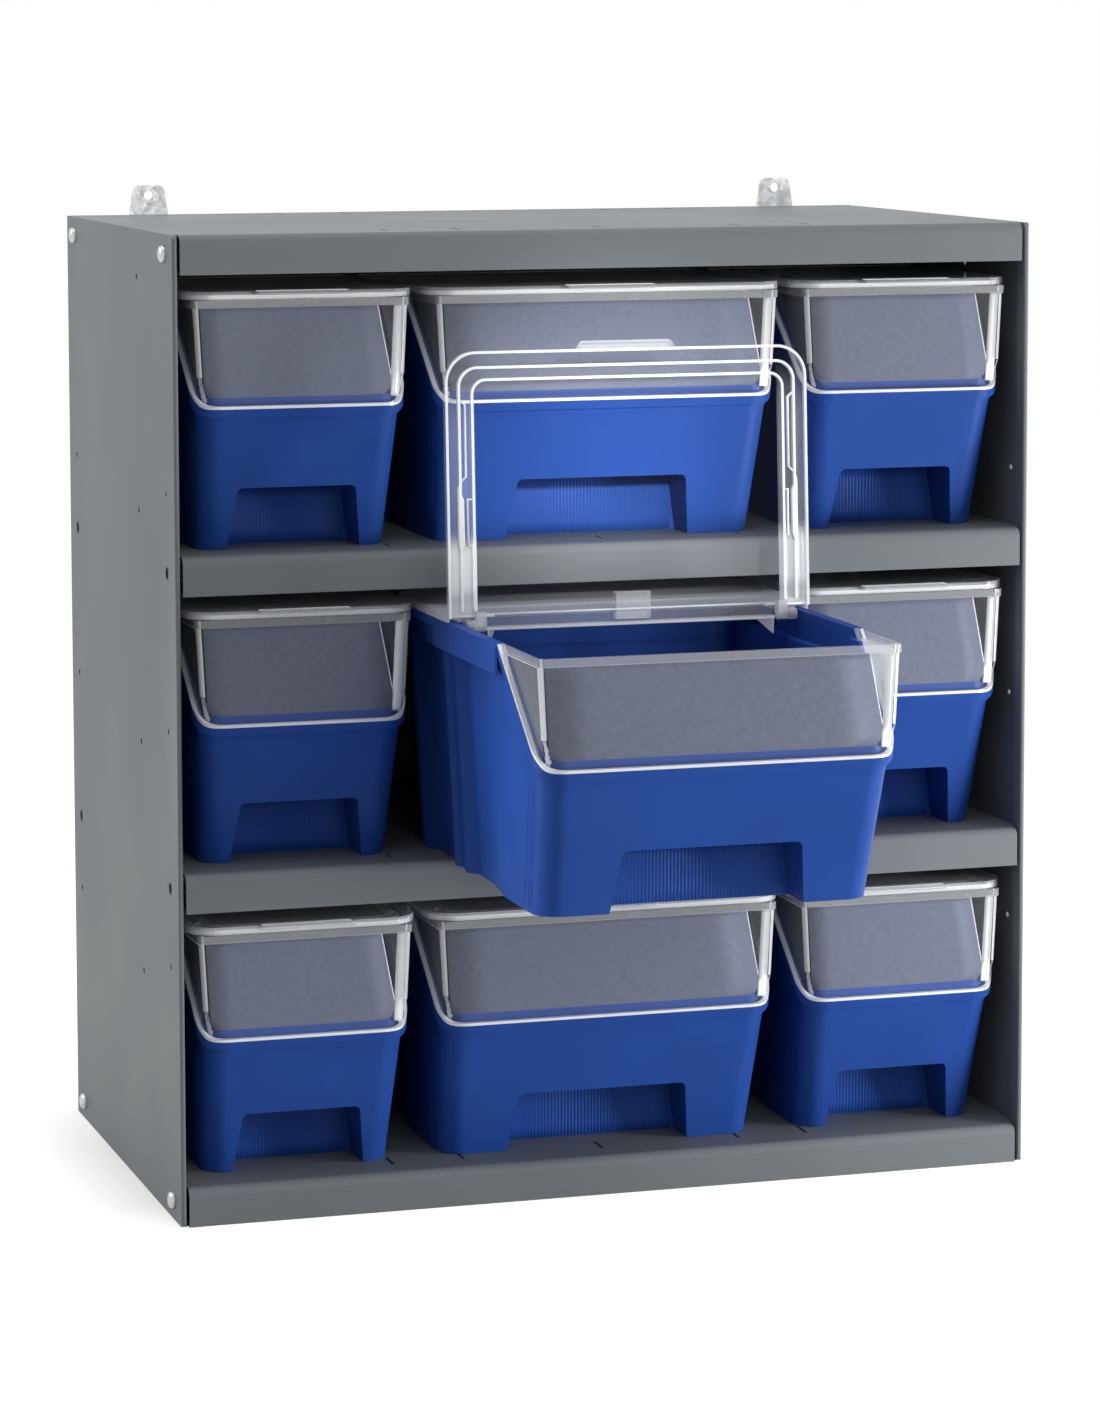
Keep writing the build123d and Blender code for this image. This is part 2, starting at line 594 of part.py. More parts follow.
def front_flap(lid_half):
    """The clear flap, closed: plate, edge skirt, two U-shaped ribs, finger tab, tongue and knuckles."""
    heel = HINGE_SETBACK - FLAP_HEEL_GAP
    rib_end = heel - RIB_END_GAP
    plate_plan = lid_plan(lid_half, -LID_FRONT_LAP, heel, front_radius=LID_CORNER_RADIUS)
    skirt_hollow = lid_plan(lid_half - LID_SKIRT, LID_SKIRT - LID_FRONT_LAP, heel + LID_SKIRT,
                            front_radius=LID_CORNER_RADIUS - LID_SKIRT)
    ribs = []
    for inset, front_inset, radius, depth in LID_RIBS:
        outer = lid_plan(lid_half - inset, front_inset - LID_FRONT_LAP, rib_end, front_radius=radius)
        inner = lid_plan(lid_half - inset - RIB_THICKNESS, front_inset + RIB_THICKNESS - LID_FRONT_LAP,
                         rib_end + RIB_THICKNESS, front_radius=radius - RIB_THICKNESS)
        ribs.append((outer, inner, depth))
    tab_front = -LID_FRONT_LAP - FINGER_TAB_REACH
    tab_half = FINGER_TAB_WIDTH / 2
    finger_ribs_middle = tab_front + FINGER_RIBS * FINGER_RIB_PITCH / 2
    arm_middle = (HINGE_SETBACK - FLAP_ARM / 2, HINGE_HEIGHT + (HINGE_DROP - KNUCKLE_RADIUS) / 2)
    with BuildPart() as flap:
        with BuildSketch(Plane.XY.offset(LID_TOP)):
            add(plate_plan)
        extrude(amount=-LID_PLATE)
        with BuildSketch(Plane.XY.offset(LID_TOP)) as finger_tab:
            with BuildLine():
                Polyline((-tab_half, -LID_FRONT_LAP), (FINGER_TAB_SLOPE - tab_half, tab_front),
                         (tab_half - FINGER_TAB_SLOPE, tab_front), (tab_half, -LID_FRONT_LAP),
                         (tab_half, FINGER_TAB_REACH), (-tab_half, FINGER_TAB_REACH), close=True)
            make_face()
            fillet(finger_tab.vertices().group_by(Axis.Y)[0], FINGER_TAB_RADIUS)
        extrude(amount=-LID_PLATE)
        with BuildSketch(Plane.XY.offset(LID_UNDERSIDE)):
            add(plate_plan)
            add(skirt_hollow, mode=Mode.SUBTRACT)
        extrude(amount=-LID_SKIRT_DEPTH)
        for outer, inner, depth in ribs:
            with BuildSketch(Plane.XY.offset(LID_UNDERSIDE)):
                add(outer)
                add(inner, mode=Mode.SUBTRACT)
            extrude(amount=-depth)
        with BuildSketch(Plane.XY.offset(LID_TOP)):
            with Locations(*[(0, finger_ribs_middle + (rib - (FINGER_RIBS - 1) / 2) * FINGER_RIB_PITCH)
                             for rib in range(FINGER_RIBS)]):
                Rectangle(FINGER_TAB_WIDTH - 2 * FINGER_TAB_SLOPE, FINGER_RIB_THICKNESS)
        extrude(amount=FINGER_RIB_HEIGHT)
        with BuildSketch(Plane.XY.offset(LID_UNDERSIDE)):
            with Locations((0, HINGE_SETBACK - TONGUE_HEEL - TONGUE_LENGTH / 2)):
                Rectangle(TONGUE_WIDTH, TONGUE_LENGTH)
        extrude(amount=-TONGUE_DEPTH)
        for side in (-1, 1):
            with BuildSketch(Plane.YZ.offset(side * knuckle_end(lid_half, 1))):
                with Locations((HINGE_SETBACK, HINGE_HEIGHT)):
                    Circle(KNUCKLE_RADIUS)
                with Locations(arm_middle):
                    Rectangle(FLAP_ARM, HINGE_DROP + KNUCKLE_RADIUS)
                with Locations((HINGE_SETBACK, HINGE_HEIGHT)):
                    Circle(PIN_RADIUS + PIN_CLEARANCE, mode=Mode.SUBTRACT)
            extrude(amount=-side * KNUCKLE_LENGTH)
    return flap.part


def rear_lid(lid_half):
    """The clear rear lid: plate, edge skirt, two U-shaped ribs, riser, ledge, fins, knuckles and pins."""
    start = HINGE_SETBACK + REAR_LID_GAP
    end = BIN_LENGTH + LID_LAP
    plate_plan = lid_plan(lid_half, start, end, rear_radius=LID_CORNER_RADIUS)
    skirt_hollow = lid_plan(lid_half - LID_SKIRT, start - LID_SKIRT, end - LID_SKIRT,
                            rear_radius=LID_CORNER_RADIUS - LID_SKIRT)
    ribs = []
    for inset, _, radius, depth in LID_RIBS:
        outer = lid_plan(lid_half - inset, start, end - inset, rear_radius=radius)
        inner = lid_plan(lid_half - inset - RIB_THICKNESS, start - RIB_THICKNESS,
                         end - inset - RIB_THICKNESS, rear_radius=radius - RIB_THICKNESS)
        ribs.append((outer, inner, depth))
    arm = REAR_LID_GAP + RIB_THICKNESS
    ledge_top = HINGE_HEIGHT - LEDGE_DROP
    ledge_bottom = ledge_top - LEDGE_THICKNESS
    ledge_front = HINGE_SETBACK + LEDGE_START
    ledge_length = arm - LEDGE_START
    pin_end = knuckle_end(lid_half, 2)
    ledge_half = pin_end - KNUCKLE_GAP
    with BuildPart() as lid:
        with BuildSketch(Plane.XY.offset(LID_TOP)):
            add(plate_plan)
        extrude(amount=-LID_PLATE)
        with BuildSketch(Plane.XY.offset(LID_UNDERSIDE)):
            add(plate_plan)
            add(skirt_hollow, mode=Mode.SUBTRACT)
        extrude(amount=-LID_SKIRT_DEPTH)
        for outer, inner, depth in ribs:
            with BuildSketch(Plane.XY.offset(LID_UNDERSIDE)):
                add(outer)
                add(inner, mode=Mode.SUBTRACT)
            extrude(amount=-depth)
        with BuildSketch(Plane.XY.offset(LID_UNDERSIDE)):
            with Locations((0, start + RIB_THICKNESS / 2)):
                Rectangle(2 * (lid_half - KNUCKLE_INSET), RIB_THICKNESS)
        extrude(amount=ledge_bottom - LID_UNDERSIDE)
        with BuildSketch(Plane.XY.offset(ledge_top)):
            with Locations((0, ledge_front + ledge_length / 2)):
                Rectangle(2 * ledge_half, ledge_length)
        extrude(amount=-LEDGE_THICKNESS)
        for side in (-1, 1):
            turn = radians(FIN_TURN)
            fin_plane = Plane(origin=(side * (ledge_half - FIN_THICKNESS), ledge_front, ledge_bottom),
                              x_dir=(-side * sin(turn), cos(turn), 0), z_dir=(cos(turn), side * sin(turn), 0))
            with BuildSketch(fin_plane):
                with BuildLine():
                    Polyline((0, LEDGE_THICKNESS / 2), (0, -FIN_DEPTH), (FIN_LENGTH, 0),
                             (ledge_length, LEDGE_THICKNESS / 2), close=True)
                make_face()
            extrude(amount=FIN_THICKNESS / 2, both=True)
        for side in (-1, 1):
            knuckle_plane = Plane.YZ.offset(side * knuckle_end(lid_half, 0))
            with BuildSketch(knuckle_plane):
                with Locations((HINGE_SETBACK, HINGE_HEIGHT)):
                    Circle(KNUCKLE_RADIUS)
                with Locations((HINGE_SETBACK + arm / 2, HINGE_HEIGHT)):
                    Rectangle(arm, 2 * KNUCKLE_RADIUS)
            extrude(amount=-side * KNUCKLE_LENGTH)
            with BuildSketch(knuckle_plane):
                with Locations((HINGE_SETBACK, HINGE_HEIGHT)):
                    Circle(PIN_RADIUS)
            extrude(amount=-side * (knuckle_end(lid_half, 0) - pin_end))
    return lid.part


def placed(piece, name, place):
    """Writes a copy of a bin's piece at its place in the rack."""
    with BuildPart() as copy:
        with Locations(place):
            add(piece)
    write(copy, name)


SIZES = {"narrow": (NARROW_LID_WIDTH / 2, NARROW_RECESS_WIDTH, NARROW_RECESS_DEPTH),
         "wide": (WIDE_LID_WIDTH / 2, WIDE_RECESS_WIDTH, WIDE_RECESS_DEPTH)}
HINGE_AXIS = Axis((0, HINGE_SETBACK, HINGE_HEIGHT), (-1, 0, 0))
COLUMNS = (("left", -COLUMN_PITCH, "narrow"), ("centre", 0.0, "wide"), ("right", COLUMN_PITCH, "narrow"))
PULLED_BIN = ("middle", "centre")

bodies = {}
windows = {}
rear_lids = {}
flaps = {}
for size, (lid_half, recess_width, recess_depth) in SIZES.items():
    bodies[size] = bin_body(lid_half, recess_width, recess_depth)
    windows[size] = bin_window(lid_half)
    rear_lids[size] = rear_lid(lid_half)
    flaps[size] = front_flap(lid_half)

for row, row_name in enumerate(("bottom", "middle", "top")):
    for column_name, centre, size in COLUMNS:
        place = (centre, FRONT + BIN_SETBACK, row * ROW_PITCH + LIP_HEIGHT + FOOT_CLEARANCE)
        flap = flaps[size]
        if (row_name, column_name) == PULLED_BIN:
            place = (centre + PULLED_ASIDE, place[1] - PULLED_OUT, place[2])
            flap = flap.rotate(HINGE_AXIS, OPEN_ANGLE)
        prefix = f"{row_name}_{column_name}"
        placed(bodies[size], f"{prefix}_bin", place)
        placed(windows[size], f"{prefix}_window", place)
        placed(rear_lids[size], f"{prefix}_rear_lid", place)
        placed(flap, f"{prefix}_front_flap", place)
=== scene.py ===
"""Bin rack: finishes and fine shapes for a steel rack of blue bins with clear windows and lids.

Metres, +Z up, +Y towards the wall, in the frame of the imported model. Sheet metal, mouldings and
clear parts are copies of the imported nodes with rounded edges. Small ribs, snaps and matt faces are
surfaces worked out here. Every bin is drawn in its own place: the window's face is at depth 0, the
foot at height 0 and the middle at width 0.
"""
import json
import logging
import math
from dataclasses import dataclass
from enum import Enum
from functools import cached_property

import bmesh
import bpy
import numpy as np
from mathutils import Matrix, Vector

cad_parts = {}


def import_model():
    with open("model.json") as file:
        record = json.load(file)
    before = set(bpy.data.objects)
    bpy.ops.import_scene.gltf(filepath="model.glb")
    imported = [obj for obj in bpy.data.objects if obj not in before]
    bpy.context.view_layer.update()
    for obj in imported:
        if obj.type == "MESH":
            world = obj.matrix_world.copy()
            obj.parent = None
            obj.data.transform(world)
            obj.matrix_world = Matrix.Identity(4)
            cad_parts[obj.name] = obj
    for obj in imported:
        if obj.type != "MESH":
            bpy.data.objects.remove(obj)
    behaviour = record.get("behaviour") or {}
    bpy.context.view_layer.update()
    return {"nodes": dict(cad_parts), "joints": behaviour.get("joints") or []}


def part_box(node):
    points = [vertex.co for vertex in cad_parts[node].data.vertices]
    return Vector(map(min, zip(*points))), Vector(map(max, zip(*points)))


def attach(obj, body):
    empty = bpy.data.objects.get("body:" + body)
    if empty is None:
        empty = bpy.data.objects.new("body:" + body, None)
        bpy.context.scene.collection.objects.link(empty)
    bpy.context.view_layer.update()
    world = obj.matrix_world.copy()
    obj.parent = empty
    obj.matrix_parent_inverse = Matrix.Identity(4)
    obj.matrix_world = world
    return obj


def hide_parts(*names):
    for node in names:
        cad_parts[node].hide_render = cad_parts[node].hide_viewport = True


LOG = logging.getLogger("bin_rack")
MM = 0.001
WELD = 2e-6
FLAT_ANGLE = math.radians(0.4)
CREASE_ANGLE = math.radians(32)
EDGE_SEGMENTS = 2
THIN = "thin"
MIX_SHARE, MIX_FIRST, MIX_SECOND, MIX_COLOUR = 0, 6, 7, 2
SIDES = (-1, 1)
QUARTER_TURN = math.pi / 2

Colour = tuple[float, float, float]
Place = tuple[float, float, float]
Span = tuple[float, float]
Array = np.ndarray
Mesh = tuple[Array, Array]
Object = bpy.types.Object
Material = bpy.types.Material
Socket = bpy.types.NodeSocket

WHITE: Colour = (1.0, 1.0, 1.0)


class Slot(Enum):
    """The record's material slots."""

    PAINT = "case_paint"
    BLUE = "bin_plastic"
    CLEAR = "clear_plastic"
    GALVANISED = "galvanised"
    ZINC = "zinc"


# Node trees
@dataclass
class NodeSheet:
    """A node tree, with short calls for the nodes that the finishes and the studio share."""

    tree: bpy.types.NodeTree

    def add(self, kind: str, **settings: object) -> bpy.types.Node:
        """Adds a node.

        Args:
            kind: the node's type, as Blender names it.
            settings: properties of the node.

        Returns:
            The new node.
        """
        node = self.tree.nodes.new(kind)
        for name, value in settings.items():
            setattr(node, name, value)
        return node

    def feed(self, target: Socket, value: object) -> None:
        """Links a socket to the target, or sets a number or a colour there.

        Args:
            target: the input that takes the value.
            value: a socket, a number or a colour.
        """
        if isinstance(value, Socket):
            self.tree.links.new(value, target)
        elif isinstance(value, tuple):
            target.default_value = (*value, 1.0)
        else:
            target.default_value = value

    def place(self) -> Socket:
        """Returns the Object coordinates."""
        return self.add("ShaderNodeTexCoord").outputs["Object"]

    def noise(self, scale: float, detail: float = 2.0) -> Socket:
        """Adds a soft noise on Object coordinates.

        Args:
            scale: waves in a metre.
            detail: octaves of finer noise.

        Returns:
            The noise, from 0 to 1.
        """
        node = self.add("ShaderNodeTexNoise")
        for name, value in (("Scale", scale), ("Detail", detail), ("Vector", self.place())):
            self.feed(node.inputs[name], value)
        return node.outputs["Fac"]

    def thin(self) -> Socket:
        """Returns the mark of thin walls and edges, which also carries painted highlights."""
        return self.add("ShaderNodeAttribute", attribute_name=THIN).outputs["Fac"]

    def sum(self, kind: str, first: float | Socket, second: float | Socket) -> Socket:
        """Works out one sum with a Math node.

        Args:
            kind: the node's operation, as Blender names it.
            first: a number or a socket.
            second: a number or a socket.

        Returns:
            The result.
        """
        node = self.add("ShaderNodeMath", operation=kind)
        for socket, value in zip(node.inputs, (first, second)):
            self.feed(socket, value)
        return node.outputs[0]

    def spread(self, value: Socket, low: float, high: float, start: float = 0.0, end: float = 1.0) -> Socket:
        """Carries a value from one range onto another, and holds it there.

        Args:
            value: the value.
            low: what start becomes.
            high: what end becomes.
            start: where the first range starts.
            end: where the first range ends.

        Returns:
            The carried value.
        """
        node = self.add("ShaderNodeMapRange")
        self.feed(node.inputs["Value"], value)
        for name, number in (("From Min", start), ("From Max", end), ("To Min", low), ("To Max", high)):
            self.feed(node.inputs[name], number)
        return node.outputs["Result"]

    def blend(self, share: Socket, first: Colour | Socket, second: Colour | Socket) -> Socket:
        """Mixes two colours.

        Args:
            share: 0 for the first colour, 1 for the second.
            first: a colour or a socket.
            second: a colour or a socket.

        Returns:
            The mixed colour.
        """
        node = self.add("ShaderNodeMix", data_type="RGBA")
        for number, value in ((MIX_SHARE, share), (MIX_FIRST, first), (MIX_SECOND, second)):
            self.feed(node.inputs[number], value)
        return node.outputs[MIX_COLOUR]

    def clouded(self, share: Socket, colour: Colour, depth: float) -> Socket:
        """Returns a colour made darker by depth where share is 0, and lighter by it where share is 1."""
        return self.blend(share, shaded(colour, 1 - depth), shaded(colour, 1 + depth))

    def seen(self) -> Socket:
        """Tells the rays that show the background from those that light the object.

        Returns:
            1 for rays from the camera, a gloss or a clear part, and 0 for others.
        """
        rays = self.add("ShaderNodeLightPath").outputs
        direct = self.sum("MAXIMUM", rays["Is Camera Ray"], rays["Is Glossy Ray"])
        return self.sum("MAXIMUM", direct, rays["Is Transmission Ray"])


class MaterialSheet(NodeSheet):
    """The tree of a new material around one Principled shader."""

    def __init__(self, name: str) -> None:
        """Makes the material.

        Args:
            name: the material's name.
        """
        self.material = bpy.data.materials.new(name)
        self.material.use_nodes = True
        super().__init__(self.material.node_tree)
        self.skin = self.tree.nodes["Principled BSDF"]

    def set(self, **values: object) -> None:
        """Feeds the shader's own sockets; an underscore stands for a space in a socket's name."""
        for name, value in values.items():
            self.feed(self.skin.inputs[name.replace("_", " ")], value)

    def raised(self, height: Socket, depth: float) -> None:
        """Raises the surface.

        Args:
            height: a share of the depth, from 0 to 1.
            depth: the full height in metres.
        """
        node = self.add("ShaderNodeBump")
        self.feed(node.inputs["Distance"], depth)
        self.feed(node.inputs["Height"], height)
        self.set(Normal=node.outputs["Normal"])


# Finishes
def shaded(colour: Colour, share: float) -> Colour:
    """Makes a colour lighter or darker.

    Args:
        colour: the colour.
        share: what each channel is multiplied by; a channel stops at 1.

    Returns:
        The new colour.
    """
    return tuple(min(1.0, channel * share) for channel in colour)


@dataclass(frozen=True)
class PaintedSteel:
    """Semi-gloss powder paint with the faint orange peel of a sprayed coat."""

    colour: Colour = (0.150, 0.162, 0.172)
    cloud: float = 0.035
    cloud_scale: float = 7.0
    contrast: Span = (0.35, 0.65)
    gloss: Span = (0.40, 0.47)
    peel_scale: float = 420.0
    peel_depth: float = 0.00003
    shine: float = 0.12
    refraction: float = 1.5

    def material(self) -> Material:
        """Makes the finish.

        Returns:
            The material.
        """
        sheet = MaterialSheet("painted_steel")
        cloud = sheet.spread(sheet.noise(self.cloud_scale), 0.0, 1.0, *self.contrast)
        sheet.raised(sheet.noise(self.peel_scale, detail=1.0), self.peel_depth)
        sheet.set(Base_Color=sheet.clouded(cloud, self.colour, self.cloud),
                  Roughness=sheet.spread(cloud, *self.gloss),
                  IOR=self.refraction, Specular_IOR_Level=self.shine)
        return sheet.material


@dataclass(frozen=True)
class GalvanisedSteel:
    """Hot-dip zinc: crystal spangles, each with its own grey and its own gloss."""

    dark: Colour = (0.50, 0.51, 0.52)
    pale: Colour = (0.79, 0.80, 0.81)
    spangles: float = 330.0
    gloss: Span = (0.35, 0.60)
    metal: float = 0.75

    def material(self) -> Material:
        """Makes the finish.

        Returns:
            The material.
        """
        sheet = MaterialSheet("galvanised_steel")
        crystals = sheet.add("ShaderNodeTexVoronoi")
        sheet.feed(crystals.inputs["Scale"], self.spangles)
        sheet.feed(crystals.inputs["Vector"], sheet.place())
        split = sheet.add("ShaderNodeSeparateColor")
        sheet.feed(split.inputs["Color"], crystals.outputs["Color"])
        sheet.set(Base_Color=sheet.blend(split.outputs["Red"], self.dark, self.pale),
                  Roughness=sheet.spread(split.outputs["Green"], *self.gloss), Metallic=self.metal)
        return sheet.material


@dataclass(frozen=True)
class ZincPlate:
    """Bright zinc plate on fasteners, with a faint drawn grain."""

    dark: Colour = (0.42, 0.43, 0.44)
    pale: Colour = (0.60, 0.61, 0.62)
    grain: float = 900.0
    gloss: Span = (0.25, 0.38)
    metal: float = 0.9

    def material(self) -> Material:
        """Makes the finish.

        Returns:
            The material.
        """
        sheet = MaterialSheet("zinc_plate")
        grain = sheet.noise(self.grain)
        sheet.set(Base_Color=sheet.blend(grain, self.dark, self.pale),
                  Roughness=sheet.spread(grain, *self.gloss), Metallic=self.metal)
        return sheet.material


@dataclass(frozen=True)
class BluePlastic:
    """Satin moulded polypropylene, paler where it is thin at its edges: partly its translucency there, partly
    a painted highlight where the edges catch light.
    """

    colour: Colour = (0.016, 0.060, 0.275)
    thin_edge_and_highlight_colour: Colour = (0.050, 0.150, 0.58)
    shine: float = 0.1
    refraction: float = 1.49
    flow: float = 0.07
    flow_scale: float = 16.0
    contrast: Span = (0.3, 0.7)
    gloss: Span = (0.36, 0.46)
    grain_scale: float = 1500.0
    grain_depth: float = 0.000015

    def material(self) -> Material:
        """Makes the finish.

        Returns:
            The material.
        """
        sheet = MaterialSheet("blue_plastic")
        flow = sheet.spread(sheet.noise(self.flow_scale), 0.0, 1.0, *self.contrast)
        wide = sheet.clouded(flow, self.colour, self.flow)
        sheet.raised(sheet.noise(self.grain_scale, detail=1.0), self.grain_depth)
        # thin edges: paler for translucency, and a painted highlight
        sheet.set(Base_Color=sheet.blend(sheet.thin(), wide, self.thin_edge_and_highlight_colour),
                  Roughness=sheet.spread(flow, *self.gloss),
                  IOR=self.refraction, Specular_IOR_Level=self.shine)
        return sheet.material


@dataclass(frozen=True)
class ClearPlastic:
    """Clear styrene: a faint haze face-on, and white light gathered in thin walls and edges, painted as a
    whiter, less clear skin.

    The skin covers haze to edge by the mark of thin walls, or more where it turns away: slant times
    the turn to the power steepness, up to edge. Where it turns away, its white is partly a painted sheen.
    """

    name: str = "clear_window"
    colour: Colour = (0.88, 0.90, 0.92)
    haze: float = 0.025
    edge: float = 0.82
    slant: float = 0.6
    steepness: float = 3.0
    turning: float = 0.25
    gloss: Span = (0.07, 0.16)
    ripple_scale: float = 60.0
    ripple_depth: float = 0.00008
    ripple_tint: float = 0.97
    refraction: float = 1.55

    def material(self) -> Material:
        """Makes the finish.

        Returns:
            The material.
        """
        sheet = MaterialSheet(self.name)
        ripple = sheet.noise(self.ripple_scale, detail=1.0)
        sheet.raised(ripple, self.ripple_depth)
        facing = sheet.add("ShaderNodeLayerWeight")
        sheet.feed(facing.inputs["Blend"], self.turning)
        # painted sheen: more white skin where the surface turns away
        steep = sheet.sum("POWER", facing.outputs["Facing"], self.steepness)
        slanted = sheet.sum("MINIMUM", sheet.sum("MULTIPLY", steep, self.slant), self.edge)
        # painted light: thin walls and edges gather white
        solid = sheet.spread(sheet.thin(), self.haze, self.edge)
        sheet.set(Base_Color=sheet.blend(ripple, shaded(self.colour, self.ripple_tint), self.colour),
                  Roughness=sheet.spread(ripple, *self.gloss),
                  Alpha=sheet.sum("MAXIMUM", solid, slanted), IOR=self.refraction)
        return sheet.material


@dataclass(frozen=True)
class MattPane:
    """The matt grey face moulded inside a window, faintly mottled and just see-through."""

    name: str = "matt_pane"
    colour: Colour = (0.130, 0.149, 0.214)
    mottle: float = 0.06
    mottle_scale: float = 260.0
    mottle_detail: float = 3.0
    contrast: Span = (0.3, 0.7)
    gloss: Span = (0.42, 0.58)
    solid: Span = (0.84, 0.90)
    shine: float = 0.12

    def material(self) -> Material:
        """Makes the finish.

        Returns:
            The material.
        """
        sheet = MaterialSheet(self.name)
        mottle = sheet.spread(sheet.noise(self.mottle_scale, self.mottle_detail), 0.0, 1.0, *self.contrast)
        sheet.set(Base_Color=sheet.clouded(mottle, self.colour, self.mottle),
                  Roughness=sheet.spread(mottle, *self.gloss),
                  Alpha=sheet.spread(mottle, *self.solid), Specular_IOR_Level=self.shine)
        return sheet.material


class Look(Enum):
    """The finishes of the pieces, each made into a material once."""

    PAINT = PaintedSteel()
    GALVANISED = GalvanisedSteel()
    ZINC = ZincPlate()
    BLUE = BluePlastic()
    WINDOW = ClearPlastic()
    # the lids' steep slant: more painted sheen on their tops at a glancing view
    LID = ClearPlastic(name="clear_lid", haze=0.002, edge=0.72, slant=2.2)
    # hazier than the flap: partly a painted sheen on its top, and hazier to darken the bin's inside
    REAR_LID = ClearPlastic(name="milky_sheen_lid", haze=0.10, edge=0.72, slant=2.2)
    # whitish film: painted light on the far cheek, a painted highlight in the corner strip, and the flap's
    # films
    WHITE_FILM = ClearPlastic(name="white_film", haze=0.01, edge=0.8)
    MATT = MattPane()
    # a darker copy of the matt face: painted shade on the near cheek
    SHADED_CHEEK = MattPane(name="matt_cheek", colour=(0.070, 0.078, 0.102))

    @cached_property
    def material(self) -> Material:
        """The finish as a material, made at its first use."""
        return self.value.material()


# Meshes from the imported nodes
def numbers(items: bpy.types.bpy_prop_collection, name: str, width: int = 1,
            kind: type = np.float32) -> Array:
    """Reads one property of many items.

    Args:
        items: a mesh's points, faces or corners, or an attribute's data.
        name: the property's name.
        width: how many numbers one item holds.
        kind: the type of the numbers.

    Returns:
        The numbers, in one row for each item where the width is over 1.
    """
    values = np.empty(len(items) * width, kind)
    items.foreach_get(name, values)
    return values.reshape(-1, width) if width > 1 else values


def smooth_regions(pairs: Array, count: int) -> Array:
    """Numbers the regions of faces that run into each other without a crease.

    Every face takes the lowest number among its neighbours, again and again, until none changes.

    Args:
        pairs: one row of two face numbers for each edge that isn't a crease.
        count: how many faces there are.

    Returns:
        A region number for each face.
    """
    regions = np.arange(count)
    while True:
        lowest = np.minimum(regions[pairs[:, 0]], regions[pairs[:, 1]])
        merged = regions.copy()
        np.minimum.at(merged, pairs[:, 0], lowest)
        np.minimum.at(merged, pairs[:, 1], lowest)
        merged = merged[merged]
        if np.array_equal(merged, regions):
            return regions
        regions = merged


def region_widths(mesh: bpy.types.Mesh) -> Array:
    """Works out how wide the region round each face is: twice its area over its creases' length.

    A region is all the faces that meet without a crease, so a round corner belongs to its walls,
    and a wall's narrow edge is a region by itself.

    Args:
        mesh: any closed mesh.

    Returns:
        One width for each face, in metres.
    """
    areas, normals = numbers(mesh.polygons, "area"), numbers(mesh.polygons, "normal", 3)
    sizes = numbers(mesh.polygons, "loop_total", kind=np.int32)
    corners = numbers(mesh.loops, "vertex_index", kind=np.int32)
    edges = numbers(mesh.loops, "edge_index", kind=np.int32)
    points = numbers(mesh.vertices, "co", 3)
    count = len(areas)
    owners = np.repeat(np.arange(count), sizes)
    last = np.cumsum(sizes) - 1
    following = np.arange(len(corners)) + 1
    following[last] = last + 1 - sizes
    lengths = np.linalg.norm(points[corners[following]] - points[corners], axis=1)
    order = np.argsort(edges, kind="stable")
    shared = edges[order[:-1]] == edges[order[1:]]
    meeting = np.column_stack([order[:-1][shared], order[1:][shared]])
    slants = np.sum(normals[owners[meeting[:, 0]]] * normals[owners[meeting[:, 1]]], axis=1)
    joined = meeting[slants > math.cos(CREASE_ANGLE)]
    lengths[joined.ravel()] = 0.0
    regions = smooth_regions(owners[joined], count)
    area = np.bincount(regions, areas, count)
    crease = np.bincount(regions[owners], lengths, count)
    return (2 * area / np.maximum(crease, WELD))[regions]


def set_thin(mesh: bpy.types.Mesh, shares: Array, domain: str = "FACE") -> None:
    """Writes the mark of thin walls, which also carries painted highlights.

    Args:
        mesh: the mesh.
        shares: one number from 0 to 1 for each face or point.
        domain: FACE or POINT.
    """
    mark = mesh.attributes.get(THIN) or mesh.attributes.new(THIN, "FLOAT", domain)
    mark.data.foreach_set("value", shares.astype(np.float32))


def mark_thin(mesh: bpy.types.Mesh, thin: float, wide: float) -> None:
    """Marks each face by its region's width: 1 up to a thin width, falling evenly to 0 at a wide one.

    Args:
        mesh: the mesh.
        thin: the width up to which the mark is 1.
        wide: the width from which it is 0.
    """
    set_thin(mesh, np.clip((wide - region_widths(mesh)) / (wide - thin), 0.0, 1.0))


def ramp(values: Array, start: float, end: float) -> Array:
    """Rises smoothly from 0 to 1: at a share t of the way it is t t (3 - 2 t).

    Args:
        values: any numbers.
        start: where the ramp is 0.
        end: where it is 1.

    Returns:
        One height from 0 to 1 for each value.
    """
    share = np.clip((values - start) / (end - start), 0.0, 1.0)
    return share * share * (3 - 2 * share)


def shown(name: str, data: bpy.types.ID) -> Object:
    """Makes an object and links it to the scene.

    Args:
        name: the object's name.
        data: its mesh, lamp or camera.

    Returns:
        The object.
    """
    thing = bpy.data.objects.new(name, data)
    bpy.context.scene.collection.objects.link(thing)
    return thing


def smooth_skin(skin: bmesh.types.BMesh, mesh: bpy.types.Mesh) -> None:
    """Writes a skin into a mesh, with smooth faces.

    Args:
        skin: the skin, which is freed.
        mesh: the mesh that takes it.
    """
    for face in skin.faces:
        face.smooth = True
    skin.to_mesh(mesh)
    skin.free()


